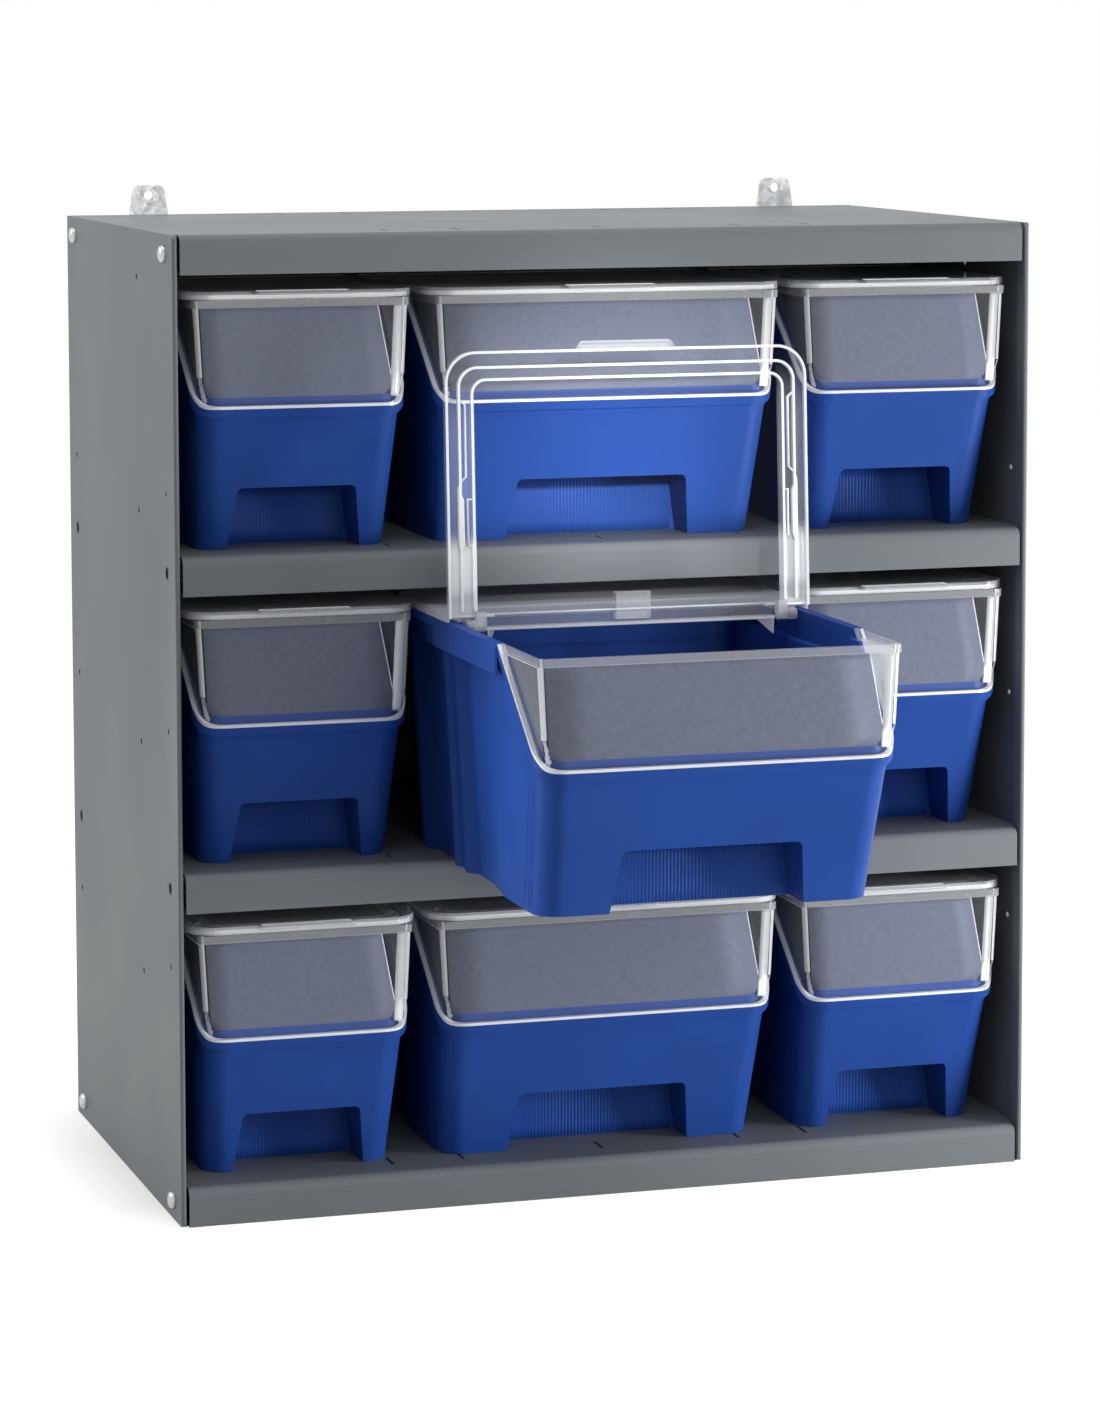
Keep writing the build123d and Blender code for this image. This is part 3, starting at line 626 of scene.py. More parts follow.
def welded_copy(node: Object, name: str) -> Object:
    """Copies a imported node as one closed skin, with its flat regions joined into single faces.

    Args:
        node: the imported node.
        name: the copy's name.

    Returns:
        The copy, linked to the scene.
    """
    mesh = bpy.data.meshes.new(name)
    skin = bmesh.new()
    skin.from_mesh(node.data)
    bmesh.ops.remove_doubles(skin, verts=skin.verts, dist=WELD)
    bmesh.ops.dissolve_limit(skin, angle_limit=FLAT_ANGLE, verts=skin.verts, edges=skin.edges)
    smooth_skin(skin, mesh)
    return shown(name, mesh)


def round_edges(piece: Object, width: float) -> None:
    """Rounds every crease of a piece.

    Args:
        piece: the piece.
        width: how far from the edge the round starts, in metres.
    """
    bevel = piece.modifiers.new("rounded_edges", "BEVEL")
    bevel.width = width
    bevel.segments = EDGE_SEGMENTS
    bevel.limit_method = "ANGLE"
    bevel.angle_limit = CREASE_ANGLE
    shade = piece.modifiers.new("flat_faces", "WEIGHTED_NORMAL")
    shade.keep_sharp = True


# Meshes from arrays
def grid(across: Array, depth: Array, height: Array) -> Array:
    """Makes a grid of points of three coordinates, each a number, a row, a column or a whole grid.

    Args:
        across: the points' x.
        depth: their y.
        height: their z.

    Returns:
        The points, rows by columns by 3.
    """
    return np.stack(np.broadcast_arrays(across, depth, height), axis=-1)


def quads(rows: int, columns: int, first: int, flipped: bool) -> Array:
    """Lists the four corners of each cell of a grid of points.

    Args:
        rows: points along the first parameter.
        columns: points along the second parameter.
        first: the number of the grid's first point.
        flipped: whether the faces turn the other way.

    Returns:
        One row of four point numbers for each cell.
    """
    counted = first + np.arange(rows * columns).reshape(rows, columns)
    ring = [counted[:-1, :-1], counted[1:, :-1], counted[1:, 1:], counted[:-1, 1:]]
    cells = np.stack(ring, axis=-1).reshape(-1, 4)
    return cells[:, ::-1] if flipped else cells


def new_piece(name: str, points: Array, faces: Array) -> Object:
    """Makes a closed piece of points and faces, with its faces turned outwards.

    Args:
        name: the piece's name.
        points: one row for each point, in metres.
        faces: one row of point numbers for each face.

    Returns:
        The piece, linked to the scene.
    """
    mesh = bpy.data.meshes.new(name)
    mesh.from_pydata(points.reshape(-1, 3).tolist(), [], faces.tolist())
    skin = bmesh.new()
    skin.from_mesh(mesh)
    bmesh.ops.remove_doubles(skin, verts=skin.verts, dist=WELD)
    bmesh.ops.recalc_face_normals(skin, faces=skin.faces)
    smooth_skin(skin, mesh)
    return shown(name, mesh)


def slab(front: Array, back: Array) -> Mesh:
    """Closes two grids of the same shape into one slab: a front, a back and a wall round the border.

    Args:
        front: points of the front, rows by columns by 3.
        back: points of the back, the same shape.

    Returns:
        The points and the faces.
    """
    rows, columns = front.shape[:2]
    both = np.stack([front, back])
    borders = [both[:, 0], both[:, -1], both[:, :, 0], both[:, :, -1]]
    points = [front.reshape(-1, 3), back.reshape(-1, 3)] + [edge.reshape(-1, 3) for edge in borders]
    first = rows * columns
    faces = [quads(rows, columns, 0, False), quads(rows, columns, first, True)]
    first *= 2
    for edge in borders:
        faces.append(quads(2, edge.shape[1], first, False))
        first += 2 * edge.shape[1]
    return np.concatenate(points), np.concatenate(faces)


def plate(front: Array, offset: Place) -> Mesh:
    """Closes a grid and its moved copy into one slab.

    Args:
        front: points of the front, rows by columns by 3.
        offset: how far the copy is moved, x, y and z.

    Returns:
        The points and the faces.
    """
    return slab(front, front + np.array(offset))


def gathered(parts: list[Mesh]) -> Mesh:
    """Joins several parts into one.

    Args:
        parts: the points and the faces of each part.

    Returns:
        The points and the faces of all of them.
    """
    firsts = np.cumsum([0] + [len(points) for points, _ in parts])
    faces = [cells + first for (_, cells), first in zip(parts, firsts)]
    return np.concatenate([points for points, _ in parts]), np.concatenate(faces)


def carried(path: Array, half_width: float, top: float, bottom: float) -> Mesh:
    """Carries an upright rectangle along a level path and closes its ends.

    At each point the rectangle stands square to the path: its sides lie half_width to the left and
    right along the mean normal of the two runs that meet there, made longer by one over the cosine
    of half the turn, so that the wall keeps its thickness round a corner.

    Args:
        path: points of the path, two numbers each.
        half_width: half the wall's thickness.
        top: the wall's upper height.
        bottom: the wall's lower height.

    Returns:
        The points and the faces.
    """
    runs = np.diff(path, axis=0)
    runs /= np.linalg.norm(runs, axis=1, keepdims=True)
    before = np.vstack([runs[:1], runs])
    after = np.vstack([runs, runs[-1:]])
    normals = np.stack([-(before + after)[:, 1], (before + after)[:, 0]], axis=1)
    normals /= np.linalg.norm(normals, axis=1, keepdims=True)
    square = np.stack([-before[:, 1], before[:, 0]], axis=1)
    reach = half_width / np.sum(normals * square, axis=1, keepdims=True)
    left, right = path + normals * reach, path - normals * reach
    sides = [(left, top), (right, top), (right, bottom), (left, bottom), (left, top)]
    rings = np.stack([np.column_stack([side, np.full(len(path), height)]) for side, height in sides], axis=1)
    faces = quads(len(path), len(sides), 0, False)
    last = (len(path) - 1) * len(sides)
    ends = np.array([[3, 2, 1, 0], [last, last + 1, last + 2, last + 3]])
    return rings.reshape(-1, 3), np.vstack([faces, ends])


@dataclass
class Piece:
    """A finished piece on its way into the rack."""

    shape: Object
    body: str
    slot: Slot
    look: Look
    stands_for: tuple[str, ...] = ()

    def fit(self) -> None:
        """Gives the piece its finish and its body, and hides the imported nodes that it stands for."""
        self.shape.data.materials.clear()
        self.shape.data.materials.append(self.look.material)
        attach(self.shape, self.body)
        if self.stands_for:
            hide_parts(*self.stands_for)
        LOG.info("%s rides on %s", self.shape.name, self.body)


# The steel case
@dataclass
class Case:
    """The sheet-steel case: side panels, pans, back panel, wall tabs and fasteners."""

    nodes: dict[str, Object]
    body: str = "rack"
    sheets: tuple[str, ...] = ("left_side_panel", "right_side_panel", "top_panel", "upper_shelf",
                               "lower_shelf", "bottom_panel", "back_panel")
    tabs: tuple[str, ...] = ("left_wall_tab", "right_wall_tab")
    fasteners: tuple[str, ...] = ("corner_bolts", "corner_nuts", "wall_tab_rivets", "back_panel_rivets")
    sheet_edge: float = 0.35 * MM
    tab_edge: float = 0.3 * MM

    def build(self) -> list[Piece]:
        """Makes the sheets and tabs with rounded edges, and the fasteners smooth.

        Returns:
            The case's pieces.
        """
        pieces = []
        kinds = ((self.sheets, self.sheet_edge, Slot.PAINT, Look.PAINT),
                 (self.tabs, self.tab_edge, Slot.GALVANISED, Look.GALVANISED))
        for names, edge, slot, look in kinds:
            for name in names:
                shape = welded_copy(self.nodes[name], f"{name}_sheet")
                round_edges(shape, edge)
                pieces.append(Piece(shape, self.body, slot, look, (name,)))
        for name in self.fasteners:
            shape = welded_copy(self.nodes[name], f"{name}_set")
            shape.data.set_sharp_from_angle(angle=CREASE_ANGLE)
            pieces.append(Piece(shape, self.body, Slot.ZINC, Look.ZINC, (name,)))
        return pieces


# Bins
@dataclass
class Hinge:
    """Where a bin's flap turns, and how far it stands open at rest."""

    centre: Array
    opened: float

    def swung(self, points: Array) -> Array:
        """Turns points of the closed flap, in the bin's place, to where the flap stands at rest.

        A point's depth d and height h from the pin become d cos a - h sin a and d sin a + h cos a,
        with a the angle that takes the flap's front edge up and back.

        Args:
            points: an array whose last axis holds x, y and z.

        Returns:
            The turned points, as a new array.
        """
        turned = points.copy()
        depth = points[..., 1] - self.centre[1]
        height = points[..., 2] - self.centre[2]
        cosine, sine = math.cos(-self.opened), math.sin(-self.opened)
        turned[..., 1] = self.centre[1] + depth * cosine - height * sine
        turned[..., 2] = self.centre[2] + depth * sine + height * cosine
        return turned

    def reach(self, points: Array) -> Array:
        """Returns how far points stand from the pin's axis."""
        arm = points - self.centre
        return np.hypot(arm[:, 1], arm[:, 2])


@dataclass
class BinSizes:
    """Sizes of a bin's fine shapes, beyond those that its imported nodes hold."""

    collar_proud: float = 3.0 * MM
    rim_height: float = 160.167 * MM
    front_wall_height: float = 91.5 * MM
    lid_top: float = 165.467 * MM
    lid_underside: float = 163.267 * MM
    lid_lap: float = 0.5 * MM
    lid_root: float = 0.2 * MM
    heel_setback: float = 166.0 * MM
    hinge_setback: float = 171.0 * MM
    rear_lid_start: float = 178.6 * MM
    rim_flange: float = 4.5 * MM
    side_draft: float = 8.5 * MM
    pane: float = 2.0 * MM
    seat_foot: float = 2.3 * MM
    seat_top: float = 75.6 * MM
    band: float = 5.0 * MM
    recess_height: float = 40.0 * MM
    recess_slope: float = 5.5 * MM
    front_lean: float = 27.0 * MM
    matt_foot: float = 98.5 * MM
    matt_margin: float = 4.6 * MM
    matt_thickness: float = 0.25 * MM
    film_gap: float = 0.05 * MM
    strip: float = 9.0 * MM
    clear_growth: float = 11.0 * MM
    clear_level: float = 0.2
    line_setbacks: tuple[float, ...] = (17.0 * MM, 22.0 * MM, 29.0 * MM)


@dataclass(kw_only=True)
class Bin(BinSizes):
    """One bin: blue moulding, clear window with its matt face, rear lid and front flap.

    A pair of widths for marks gives the width up to which a region is marked as thin, and the
    width from which it isn't.
    """

    prefix: str
    nodes: dict[str, Object]
    hinge_joint: dict
    recess_width: float
    recess_depth: float
    moulding_edge: float = 0.55 * MM
    moulding_marks: Span = (1.5 * MM, 3.2 * MM)
    clear_edge: float = 0.4 * MM
    clear_marks: Span = (2.6 * MM, 6.0 * MM)
    full_marks: Span = (8.0 * MM, 9.0 * MM)
    strip_marks: Span = (20.0 * MM, 30.0 * MM)
    far_cheek_marks: Span = (12.0 * MM, 28.0 * MM)
    no_marks: Span = (0.0, 0.01 * MM)
    flange_reach: float = 3.5 * MM
    bend_reach: float = 20.0 * MM
    corner_slants: Span = (0.25, 0.60)
    # marks of painted highlights on the window's corners and band
    corner_highlight: float = 0.7
    band_highlight: float = 0.3
    tongue_reach: float = 20.0 * MM
    tongue_half: float = 12.0 * MM
    tongue_white: float = 0.3
    finger_tab_start: float = 0.4 * MM
    finger_tab_white: float = 0.3

    def __post_init__(self) -> None:
        """Finds the bin's place and its hinge in the frame."""
        low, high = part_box(f"{self.prefix}_bin")
        self.origin = np.array([(low.x + high.x) / 2, low.y + self.collar_proud, low.z])
        self.rim_half = (high.x - low.x) / 2
        self.lid_half = self.rim_half + self.lid_lap
        pin = np.array(self.hinge_joint["pos_m"]) - self.origin
        self.hinge = Hinge(pin, -math.radians(self.hinge_joint["range_deg"][0]))

    def placed(self, name: str, mesh: Mesh) -> Object:
        """Makes a piece of points in the bin's place and the faces that join them."""
        points, faces = mesh
        return new_piece(f"{self.prefix}_{name}", points + self.origin, faces)

    def on_flap(self, name: str, parts: list[Mesh]) -> Object:
        """Makes a piece of the closed flap's parts and turns it to where the flap stands."""
        points, faces = gathered(parts)
        return self.placed(name, (self.hinge.swung(points), faces))

    def skin(self, node: str, name: str, edge: float, marks: Span) -> Object:
        """Makes a rounded copy of one of the bin's nodes, with its thin walls marked.

        Args:
            node: the node's name, without the bin's.
            name: the copy's name, without the bin's.
            edge: the rounding's width in metres.
            marks: the pair of widths for marks.

        Returns:
            The copy.
        """
        shape = welded_copy(self.nodes[f"{self.prefix}_{node}"], f"{self.prefix}_{name}")
        mark_thin(shape.data, *marks)
        round_edges(shape, edge)
        return shape

    def half_width(self, height: Array) -> Array:
        """Half the body's width at a height: the sides draw in evenly from the rim to the foot."""
        drawn_in = self.side_draft * (1 - height / self.rim_height)
        return self.rim_half - self.rim_flange - drawn_in

    def seat(self, depth: Array) -> Array:
        """The seat's height: from the front wall's top it rises evenly to the rim.

        Args:
            depth: how far behind the front.

        Returns:
            The height at each depth.
        """
        share = (depth - self.seat_foot) / (self.seat_top - self.seat_foot)
        rise = self.rim_height - self.front_wall_height
        return self.front_wall_height + rise * np.clip(share, 0.0, 1.0)

    def matt_cheek(self, name: str, side: int) -> Object:
        """The matt sheet behind one of the window's cheeks, a triangle over the rising seat.

        At depth d it reaches from seat(d) + margin up to the crown, and a point's height is
        foot + share (crown - foot), with share from 0 to 1. At its tip the sheet is tip_height high.

        Args:
            name: the piece's name.
            side: -1 for the left cheek, 1 for the right one.

        Returns:
            The sheet.
        """
        start, margin, drop, tip_height, rows, columns = 5.0 * MM, 6.5 * MM, 4.0 * MM, 1.0 * MM, 14, 5
        crown = self.rim_height - drop
        rise = self.rim_height - self.front_wall_height
        climb = (crown - tip_height - margin - self.front_wall_height) / rise
        tip = self.seat_foot + climb * (self.seat_top - self.seat_foot)
        depths = np.linspace(start, tip, rows)
        foot = self.seat(depths) + margin
        heights = foot[:, None] + (crown - foot)[:, None] * np.linspace(0, 1, columns)
        across = side * (self.half_width(heights) - self.pane - self.film_gap)
        face = grid(across, depths[:, None], heights)
        return self.placed(name, plate(face, (-side * self.matt_thickness, 0, 0)))

    def clear_margin(self, heights: Array) -> Array:
        """How far the matt face stays away from the right side.

        Over the lowest fifth of the pane it is strip wide, and above that it grows evenly, because
        the far cheek shows bright through the pane along a slanting line.

        Args:
            heights: heights over the bin's foot.

        Returns:
            The margin at each height.
        """
        foot, crown, level = self.matt_foot, self.rim_height - self.band, self.clear_level
        share = np.clip(((heights - foot) / (crown - foot) - level) / (1 - level), 0.0, 1.0)
        return self.strip + share * self.clear_growth

    def matt_face(self) -> Object:
        """The matt sheet behind the pane, with two round lower corners and a slanting right side.

        At height h over its foot, less than the corner radius r, a point of a side stands
        r - sqrt(r r - (r - h)(r - h)) further in than higher up, and across is a share of the width.

        Returns:
            The sheet.
        """
        radius, bend_rows, rows, columns = 6.0 * MM, 10, 12, 9
        foot, crown = self.matt_foot, self.rim_height - self.band
        bend = foot + radius * (1 - np.cos(np.linspace(0, QUARTER_TURN, bend_rows)))
        heights = np.append(bend, np.linspace(foot + radius, crown, rows)[1:])
        rise = np.minimum(heights - foot, radius)
        rounding = radius - np.sqrt(np.maximum(radius ** 2 - (radius - rise) ** 2, 0.0))
        left = rounding + self.matt_margin - self.half_width(heights)
        right = self.half_width(heights) - self.clear_margin(heights) - rounding
        across = left[:, None] + (right - left)[:, None] * np.linspace(0, 1, columns)
        front = grid(across, self.pane + self.film_gap, heights[:, None])
        return self.placed("window_matt_face", plate(front, (0, self.matt_thickness, 0)))

    def bright_strip(self) -> Object:
        """Painted highlights: the white strip inside the pane's right corner, and a fine bright line on the
        matt face's edge.

        The strip reaches from the corner's inner side to as far in as the clear margin is at its
        lowest, and the line follows the margin's slanting side.

        Returns:
            The strip and the line, as one piece.
        """
        thickness, line, inner, drop, rows = 0.2 * MM, 0.7 * MM, 3.0 * MM, 1.0 * MM, 24
        heights = np.linspace(self.matt_foot - drop, self.rim_height - self.band, rows)
        half, margin = self.half_width(heights), self.clear_margin(heights)
        # painted highlights: the corner strip and the line on the margin's side
        bounds = ((half - self.strip, half - inner), (half - margin, half - margin + line))
        depth = self.pane + self.film_gap
        fronts = [grid(np.column_stack(bound), depth, heights[:, None]) for bound in bounds]
        parts = [plate(front, (0, thickness, 0)) for front in fronts]
        return self.placed("window_bright_strip", gathered(parts))

    def corner_lines(self) -> Object:
        """Fine upright lines on both sides, just behind the front corners.

        A line follows the wall from near the foot to under the seat: at height h the front has leant
        back by lean (1 - h / wall), and the side has drawn in as half_width says.

        Returns:
            The lines, as one piece.
        """
        proud, width, low, under_seat, rows = 0.2 * MM, 0.6 * MM, 4.0 * MM, 12.0 * MM, 8
        heights = np.linspace(low, self.front_wall_height - under_seat, rows)
        lean = self.front_lean * (1 - heights / self.front_wall_height)
        parts = []
        for side in SIDES:
            across = side * (self.half_width(heights) + proud)
            for setback in self.line_setbacks:
                depths = (lean + setback)[:, None] + np.array([0, width])
                outer = grid(across[:, None], depths, heights[:, None])
                parts.append(plate(outer, (-side * 2 * proud, 0, 0)))
        return self.placed("corner_lines", gathered(parts))

    def recess_ribs(self) -> Object:
        """Fine upright ribs on the back wall of the hand recess.

        Across x and up z, the ribs stand proud by rise (1 + cos(2 pi x / pitch)) / 2, on a thin
        sheet whose sides follow the recess's own slope.

        Returns:
            The ribbed sheet.
        """
        pitch, rise, base, gap, margin = 2.3 * MM, 0.45 * MM, 0.1 * MM, 0.03 * MM, 3.5 * MM
        low, rows, rib_columns = 0.5 * MM, 6, 6
        wall = self.front_lean + self.recess_depth - gap
        columns = int(round(self.recess_width / pitch)) * rib_columns + 1
        heights = np.linspace(low, self.recess_height - margin, rows)
        slope = self.recess_slope * heights / self.recess_height
        half = self.recess_width / 2 - margin - slope
        across = half[:, None] * np.linspace(-1, 1, columns)
        waves = (1 + np.cos(2 * math.pi * across / pitch)) / 2
        front = grid(across, wall - base - rise * waves, heights[:, None])
        return self.placed("recess_ribs", slab(front, grid(across, wall, heights[:, None])))

    def flap_snaps(self) -> Object:
        """The snap springs along the flap's two sides, under its plate.

        Each is a wall carried along a path: a long spring that steps inwards and back, a thick
        hook on the outer rib, and a small U beside it. In millimetres, a spring has half its
        thickness, its depth, and points inset from the lid's side and back from the front edge.

        Returns:
            The springs, as one piece.
        """
        springs = (
            (0.45, 3.0, ((9.4, 29.5), (12.8, 32.5), (12.8, 77.0), (9.4, 80.5))),
            (0.70, 3.1, ((9.2, 82.0), (7.9, 85.0), (7.9, 120.0), (9.2, 124.0))),
            (0.70, 3.1, ((9.2, 89.0), (10.4, 92.0), (10.4, 119.0), (9.2, 124.0))),
            (0.50, 3.0, ((16.0, 91.5), (13.6, 91.5), (13.6, 120.5), (16.0, 120.5))),
        )
        top, parts = self.lid_underside + self.lid_root, []
        for side in SIDES:
            for half_width, depth, route in springs:
                inset, back = np.array(route).T * MM
                path = np.column_stack([side * (self.lid_half - inset), back])
                parts.append(carried(path, half_width * MM, top, top - depth * MM))
        return self.on_flap("flap_snaps", parts)

    def flap_whitish_films(self) -> Object:
        """Two whitish films under the flap's side strips, whiter towards the hinge.

        At a distance r from the pin a film's mark is 0 at 160 mm, 0.1 between 125 and 60 mm, 0.9
        between 44 and 26 mm and 0.45 within 16 mm, with a smooth ramp from each to the next.

        Returns:
            The films, as one piece.
        """
        thickness, start, heel_gap, rows, columns = 0.1 * MM, 12.0 * MM, 0.3 * MM, 60, 5
        outer_inset, inner_inset = 0.6, 19.5
        insets = np.linspace(outer_inset, inner_inset, columns) * MM
        ramps = ((0.1, 160 * MM, 125 * MM), (0.8, 60 * MM, 44 * MM), (-0.45, 26 * MM, 16 * MM))
        depths = np.linspace(start, self.heel_setback - heel_gap, rows)
        height = self.lid_underside - self.film_gap
        tops = [grid(side * (self.lid_half - insets), depths[:, None], height) for side in SIDES]
        whitish_films = self.on_flap("flap_whitish_films", [plate(top, (0, 0, -thickness)) for top in tops])
        reach = self.hinge.reach(numbers(whitish_films.data.vertices, "co", 3) - self.origin)
        white = np.sum([step * ramp(reach, far, near) for step, far, near in ramps], axis=0)
        set_thin(whitish_films.data, white, "POINT")
        return whitish_films

    def flap_heel(self) -> Object:
        """The bright bars of the flap's heel, one beside each knuckle, each straight and level.

        Returns:
            The bars, as one piece.
        """
        half_width, depth, inset, reach, setback = 0.8 * MM, 1.4 * MM, 0.4 * MM, 30.0 * MM, 1.0 * MM
        top, place = self.lid_underside + self.lid_root, self.heel_setback - setback
        ends = np.array([self.lid_half - inset, self.lid_half - reach])
        paths = [np.column_stack([side * ends, [place, place]]) for side in SIDES]
        return self.on_flap("flap_heel", [carried(path, half_width, top, top - depth) for path in paths])

    def rear_bead(self) -> Object:
        """The bead under the rear lid: two sides joined by a front run with round corners.

        Round a corner of radius r, at a turn t from 0 to a quarter, the bead stands r (1 - cos t) in
        from the side and r (1 - sin t) behind the front run.

        Returns:
            The bead.
        """
        inset, radius, setback, length = 9.0 * MM, 9.0 * MM, 50.0 * MM, 40.0 * MM
        half_width, depth, root, bend_rows = 0.5 * MM, 1.6 * MM, 0.1 * MM, 9
        half, front = self.lid_half - inset, self.rear_lid_start + setback
        turn = np.linspace(0, QUARTER_TURN, bend_rows)
        across = np.append(half, half - radius * (1 - np.cos(turn)))
        depths = np.append(front + length, front + radius * (1 - np.sin(turn)))
        right = np.column_stack([across, depths])
        path = np.vstack([right, right[::-1] * np.array([-1, 1])])
        top = self.lid_underside + root
        return self.placed("rear_lid_bead", carried(path, half_width, top, top - depth))

    def rear_edge(self) -> Object:
        """The bright front edge of the rear lid's plate, a fine straight bar laid along it.

        Returns:
            The bar.
        """
        half_width, inset, upper, lower = 0.15 * MM, 1.0 * MM, 0.1 * MM, 1.3 * MM
        place, half, top = self.rear_lid_start, self.lid_half - inset, self.lid_top
        path = np.array([(half, place), (-half, place)])
        return self.placed("rear_lid_edge", carried(path, half_width, top - upper, top - lower))

    def faces_of(self, shape: Object) -> tuple[Array, Array, Array]:
        """Reads the faces of a shape.

        Args:
            shape: a shape whose thin walls are marked.

        Returns:
            The faces' centres in the bin's place, their normals and their marks.
        """
        faces = shape.data.polygons
        marks = numbers(shape.data.attributes[THIN].data, "value")
        return numbers(faces, "center", 3) - self.origin, numbers(faces, "normal", 3), marks

    def paint_window_highlights(self, window: Object) -> None:
        """Marks painted highlights on the pane's upright corners and on its band, which gather light
        above the flange.

        Args:
            window: the window's shell.
        """
        place, normals, marks = self.faces_of(window)
        over_flange = place[:, 2] - self.seat(place[:, 1]) > self.flange_reach
        upright = place[:, 2] > self.front_wall_height + self.bend_reach
        slant = np.where(upright, *self.corner_slants)
        corner = np.minimum(np.abs(normals[:, 0]), np.abs(normals[:, 1])) > slant
        # painted highlight on the upright corners
        marks = np.where(corner & over_flange, np.maximum(marks, self.corner_highlight), marks)
        in_band = place[:, 2] > self.rim_height - self.band
        # painted highlight on the band
        set_thin(window.data, np.where(in_band & over_flange & (marks < 1), self.band_highlight, marks))

    def whiten_tongue(self, flap: Object) -> None:
        """Marks the milky tongue in the middle of the flap's heel, and makes the finger tab clearer.

        Args:
            flap: the flap's shell.
        """
        place, _, marks = self.faces_of(flap)
        reach = self.hinge.reach(place)
        tongue = (reach < self.tongue_reach) & (np.abs(place[:, 0]) < self.tongue_half)
        finger_tab = reach > self.hinge_setback + self.finger_tab_start
        marks = np.where(tongue, self.tongue_white, marks)
        set_thin(flap.data, np.where(finger_tab, self.finger_tab_white, marks))

    def build(self) -> list[Piece]:
        """Makes every piece of the bin.

        Returns:
            The bin's pieces.
        """
        moulding = self.skin("bin", "moulding", self.moulding_edge, self.moulding_marks)
        window = self.skin("window", "window_shell", self.clear_edge, self.clear_marks)
        self.paint_window_highlights(window)
        rear_lid = self.skin("rear_lid", "rear_lid_shell", self.clear_edge, self.clear_marks)
        flap = self.skin("front_flap", "front_flap_shell", self.clear_edge, self.clear_marks)
        self.whiten_tongue(flap)
        snaps, heel, bead, edge = self.flap_snaps(), self.flap_heel(), self.rear_bead(), self.rear_edge()
        strip, far_cheek = self.bright_strip(), self.matt_cheek("right_cheek_painted_light_face", 1)
        ribs, lines = self.recess_ribs(), self.corner_lines()
        marked = ((self.full_marks, (snaps, heel, bead, edge)), (self.strip_marks, (strip,)),
                  (self.far_cheek_marks, (far_cheek,)), (self.no_marks, (ribs, lines)))
        for marks, shapes in marked:
            for shape in shapes:
                mark_thin(shape.data, *marks)
        on_bin, on_flap = f"{self.prefix}_bin", f"{self.prefix}_flap"
        return [
            Piece(moulding, on_bin, Slot.BLUE, Look.BLUE, (f"{self.prefix}_bin",)),
            Piece(ribs, on_bin, Slot.BLUE, Look.BLUE),
            Piece(lines, on_bin, Slot.BLUE, Look.BLUE),
            Piece(window, on_bin, Slot.CLEAR, Look.WINDOW, (f"{self.prefix}_window",)),
            Piece(self.matt_face(), on_bin, Slot.CLEAR, Look.MATT),
            # the near cheek's sheet is darker: painted shade
            Piece(self.matt_cheek("left_cheek_matt_face", -1), on_bin, Slot.CLEAR, Look.SHADED_CHEEK),
            # the far cheek's sheet is whitish: painted light falling on that cheek
            Piece(far_cheek, on_bin, Slot.CLEAR, Look.WHITE_FILM),
            Piece(strip, on_bin, Slot.CLEAR, Look.WHITE_FILM),
            Piece(rear_lid, on_bin, Slot.CLEAR, Look.REAR_LID, (f"{self.prefix}_rear_lid",)),
            Piece(flap, on_flap, Slot.CLEAR, Look.LID, (f"{self.prefix}_front_flap",)),
            Piece(snaps, on_flap, Slot.CLEAR, Look.LID),
            Piece(heel, on_flap, Slot.CLEAR, Look.LID),
            Piece(bead, on_bin, Slot.CLEAR, Look.LID),
            Piece(edge, on_bin, Slot.CLEAR, Look.LID),
            Piece(self.flap_whitish_films(), on_flap, Slot.CLEAR, Look.WHITE_FILM),
        ]


# The studio
@dataclass(frozen=True)
class Lamp:
    """A square soft lamp of a width in metres, or a soft-edged spot where it has a cone in degrees."""

    name: str
    place: Place
    aim: Place
    power: float
    width: float = 0.0
    cone: float = 0.0
    cone_blend: float = 0.8
    spot_radius: float = 0.06

    def hang(self) -> None:
        """Hangs the lamp in its place and turns it to its aim."""
        light = bpy.data.lights.new(self.name, "SPOT" if self.cone else "AREA")
        light.energy = self.power
        if self.cone:
            light.spot_size = math.radians(self.cone)
            light.spot_blend = self.cone_blend
            light.shadow_soft_size = self.spot_radius
        else:
            light.size = self.width
        lamp = shown(self.name, light)
        lamp.location = self.place
        lamp.rotation_euler = (Vector(self.aim) - Vector(self.place)).to_track_quat("-Z", "Y").to_euler()


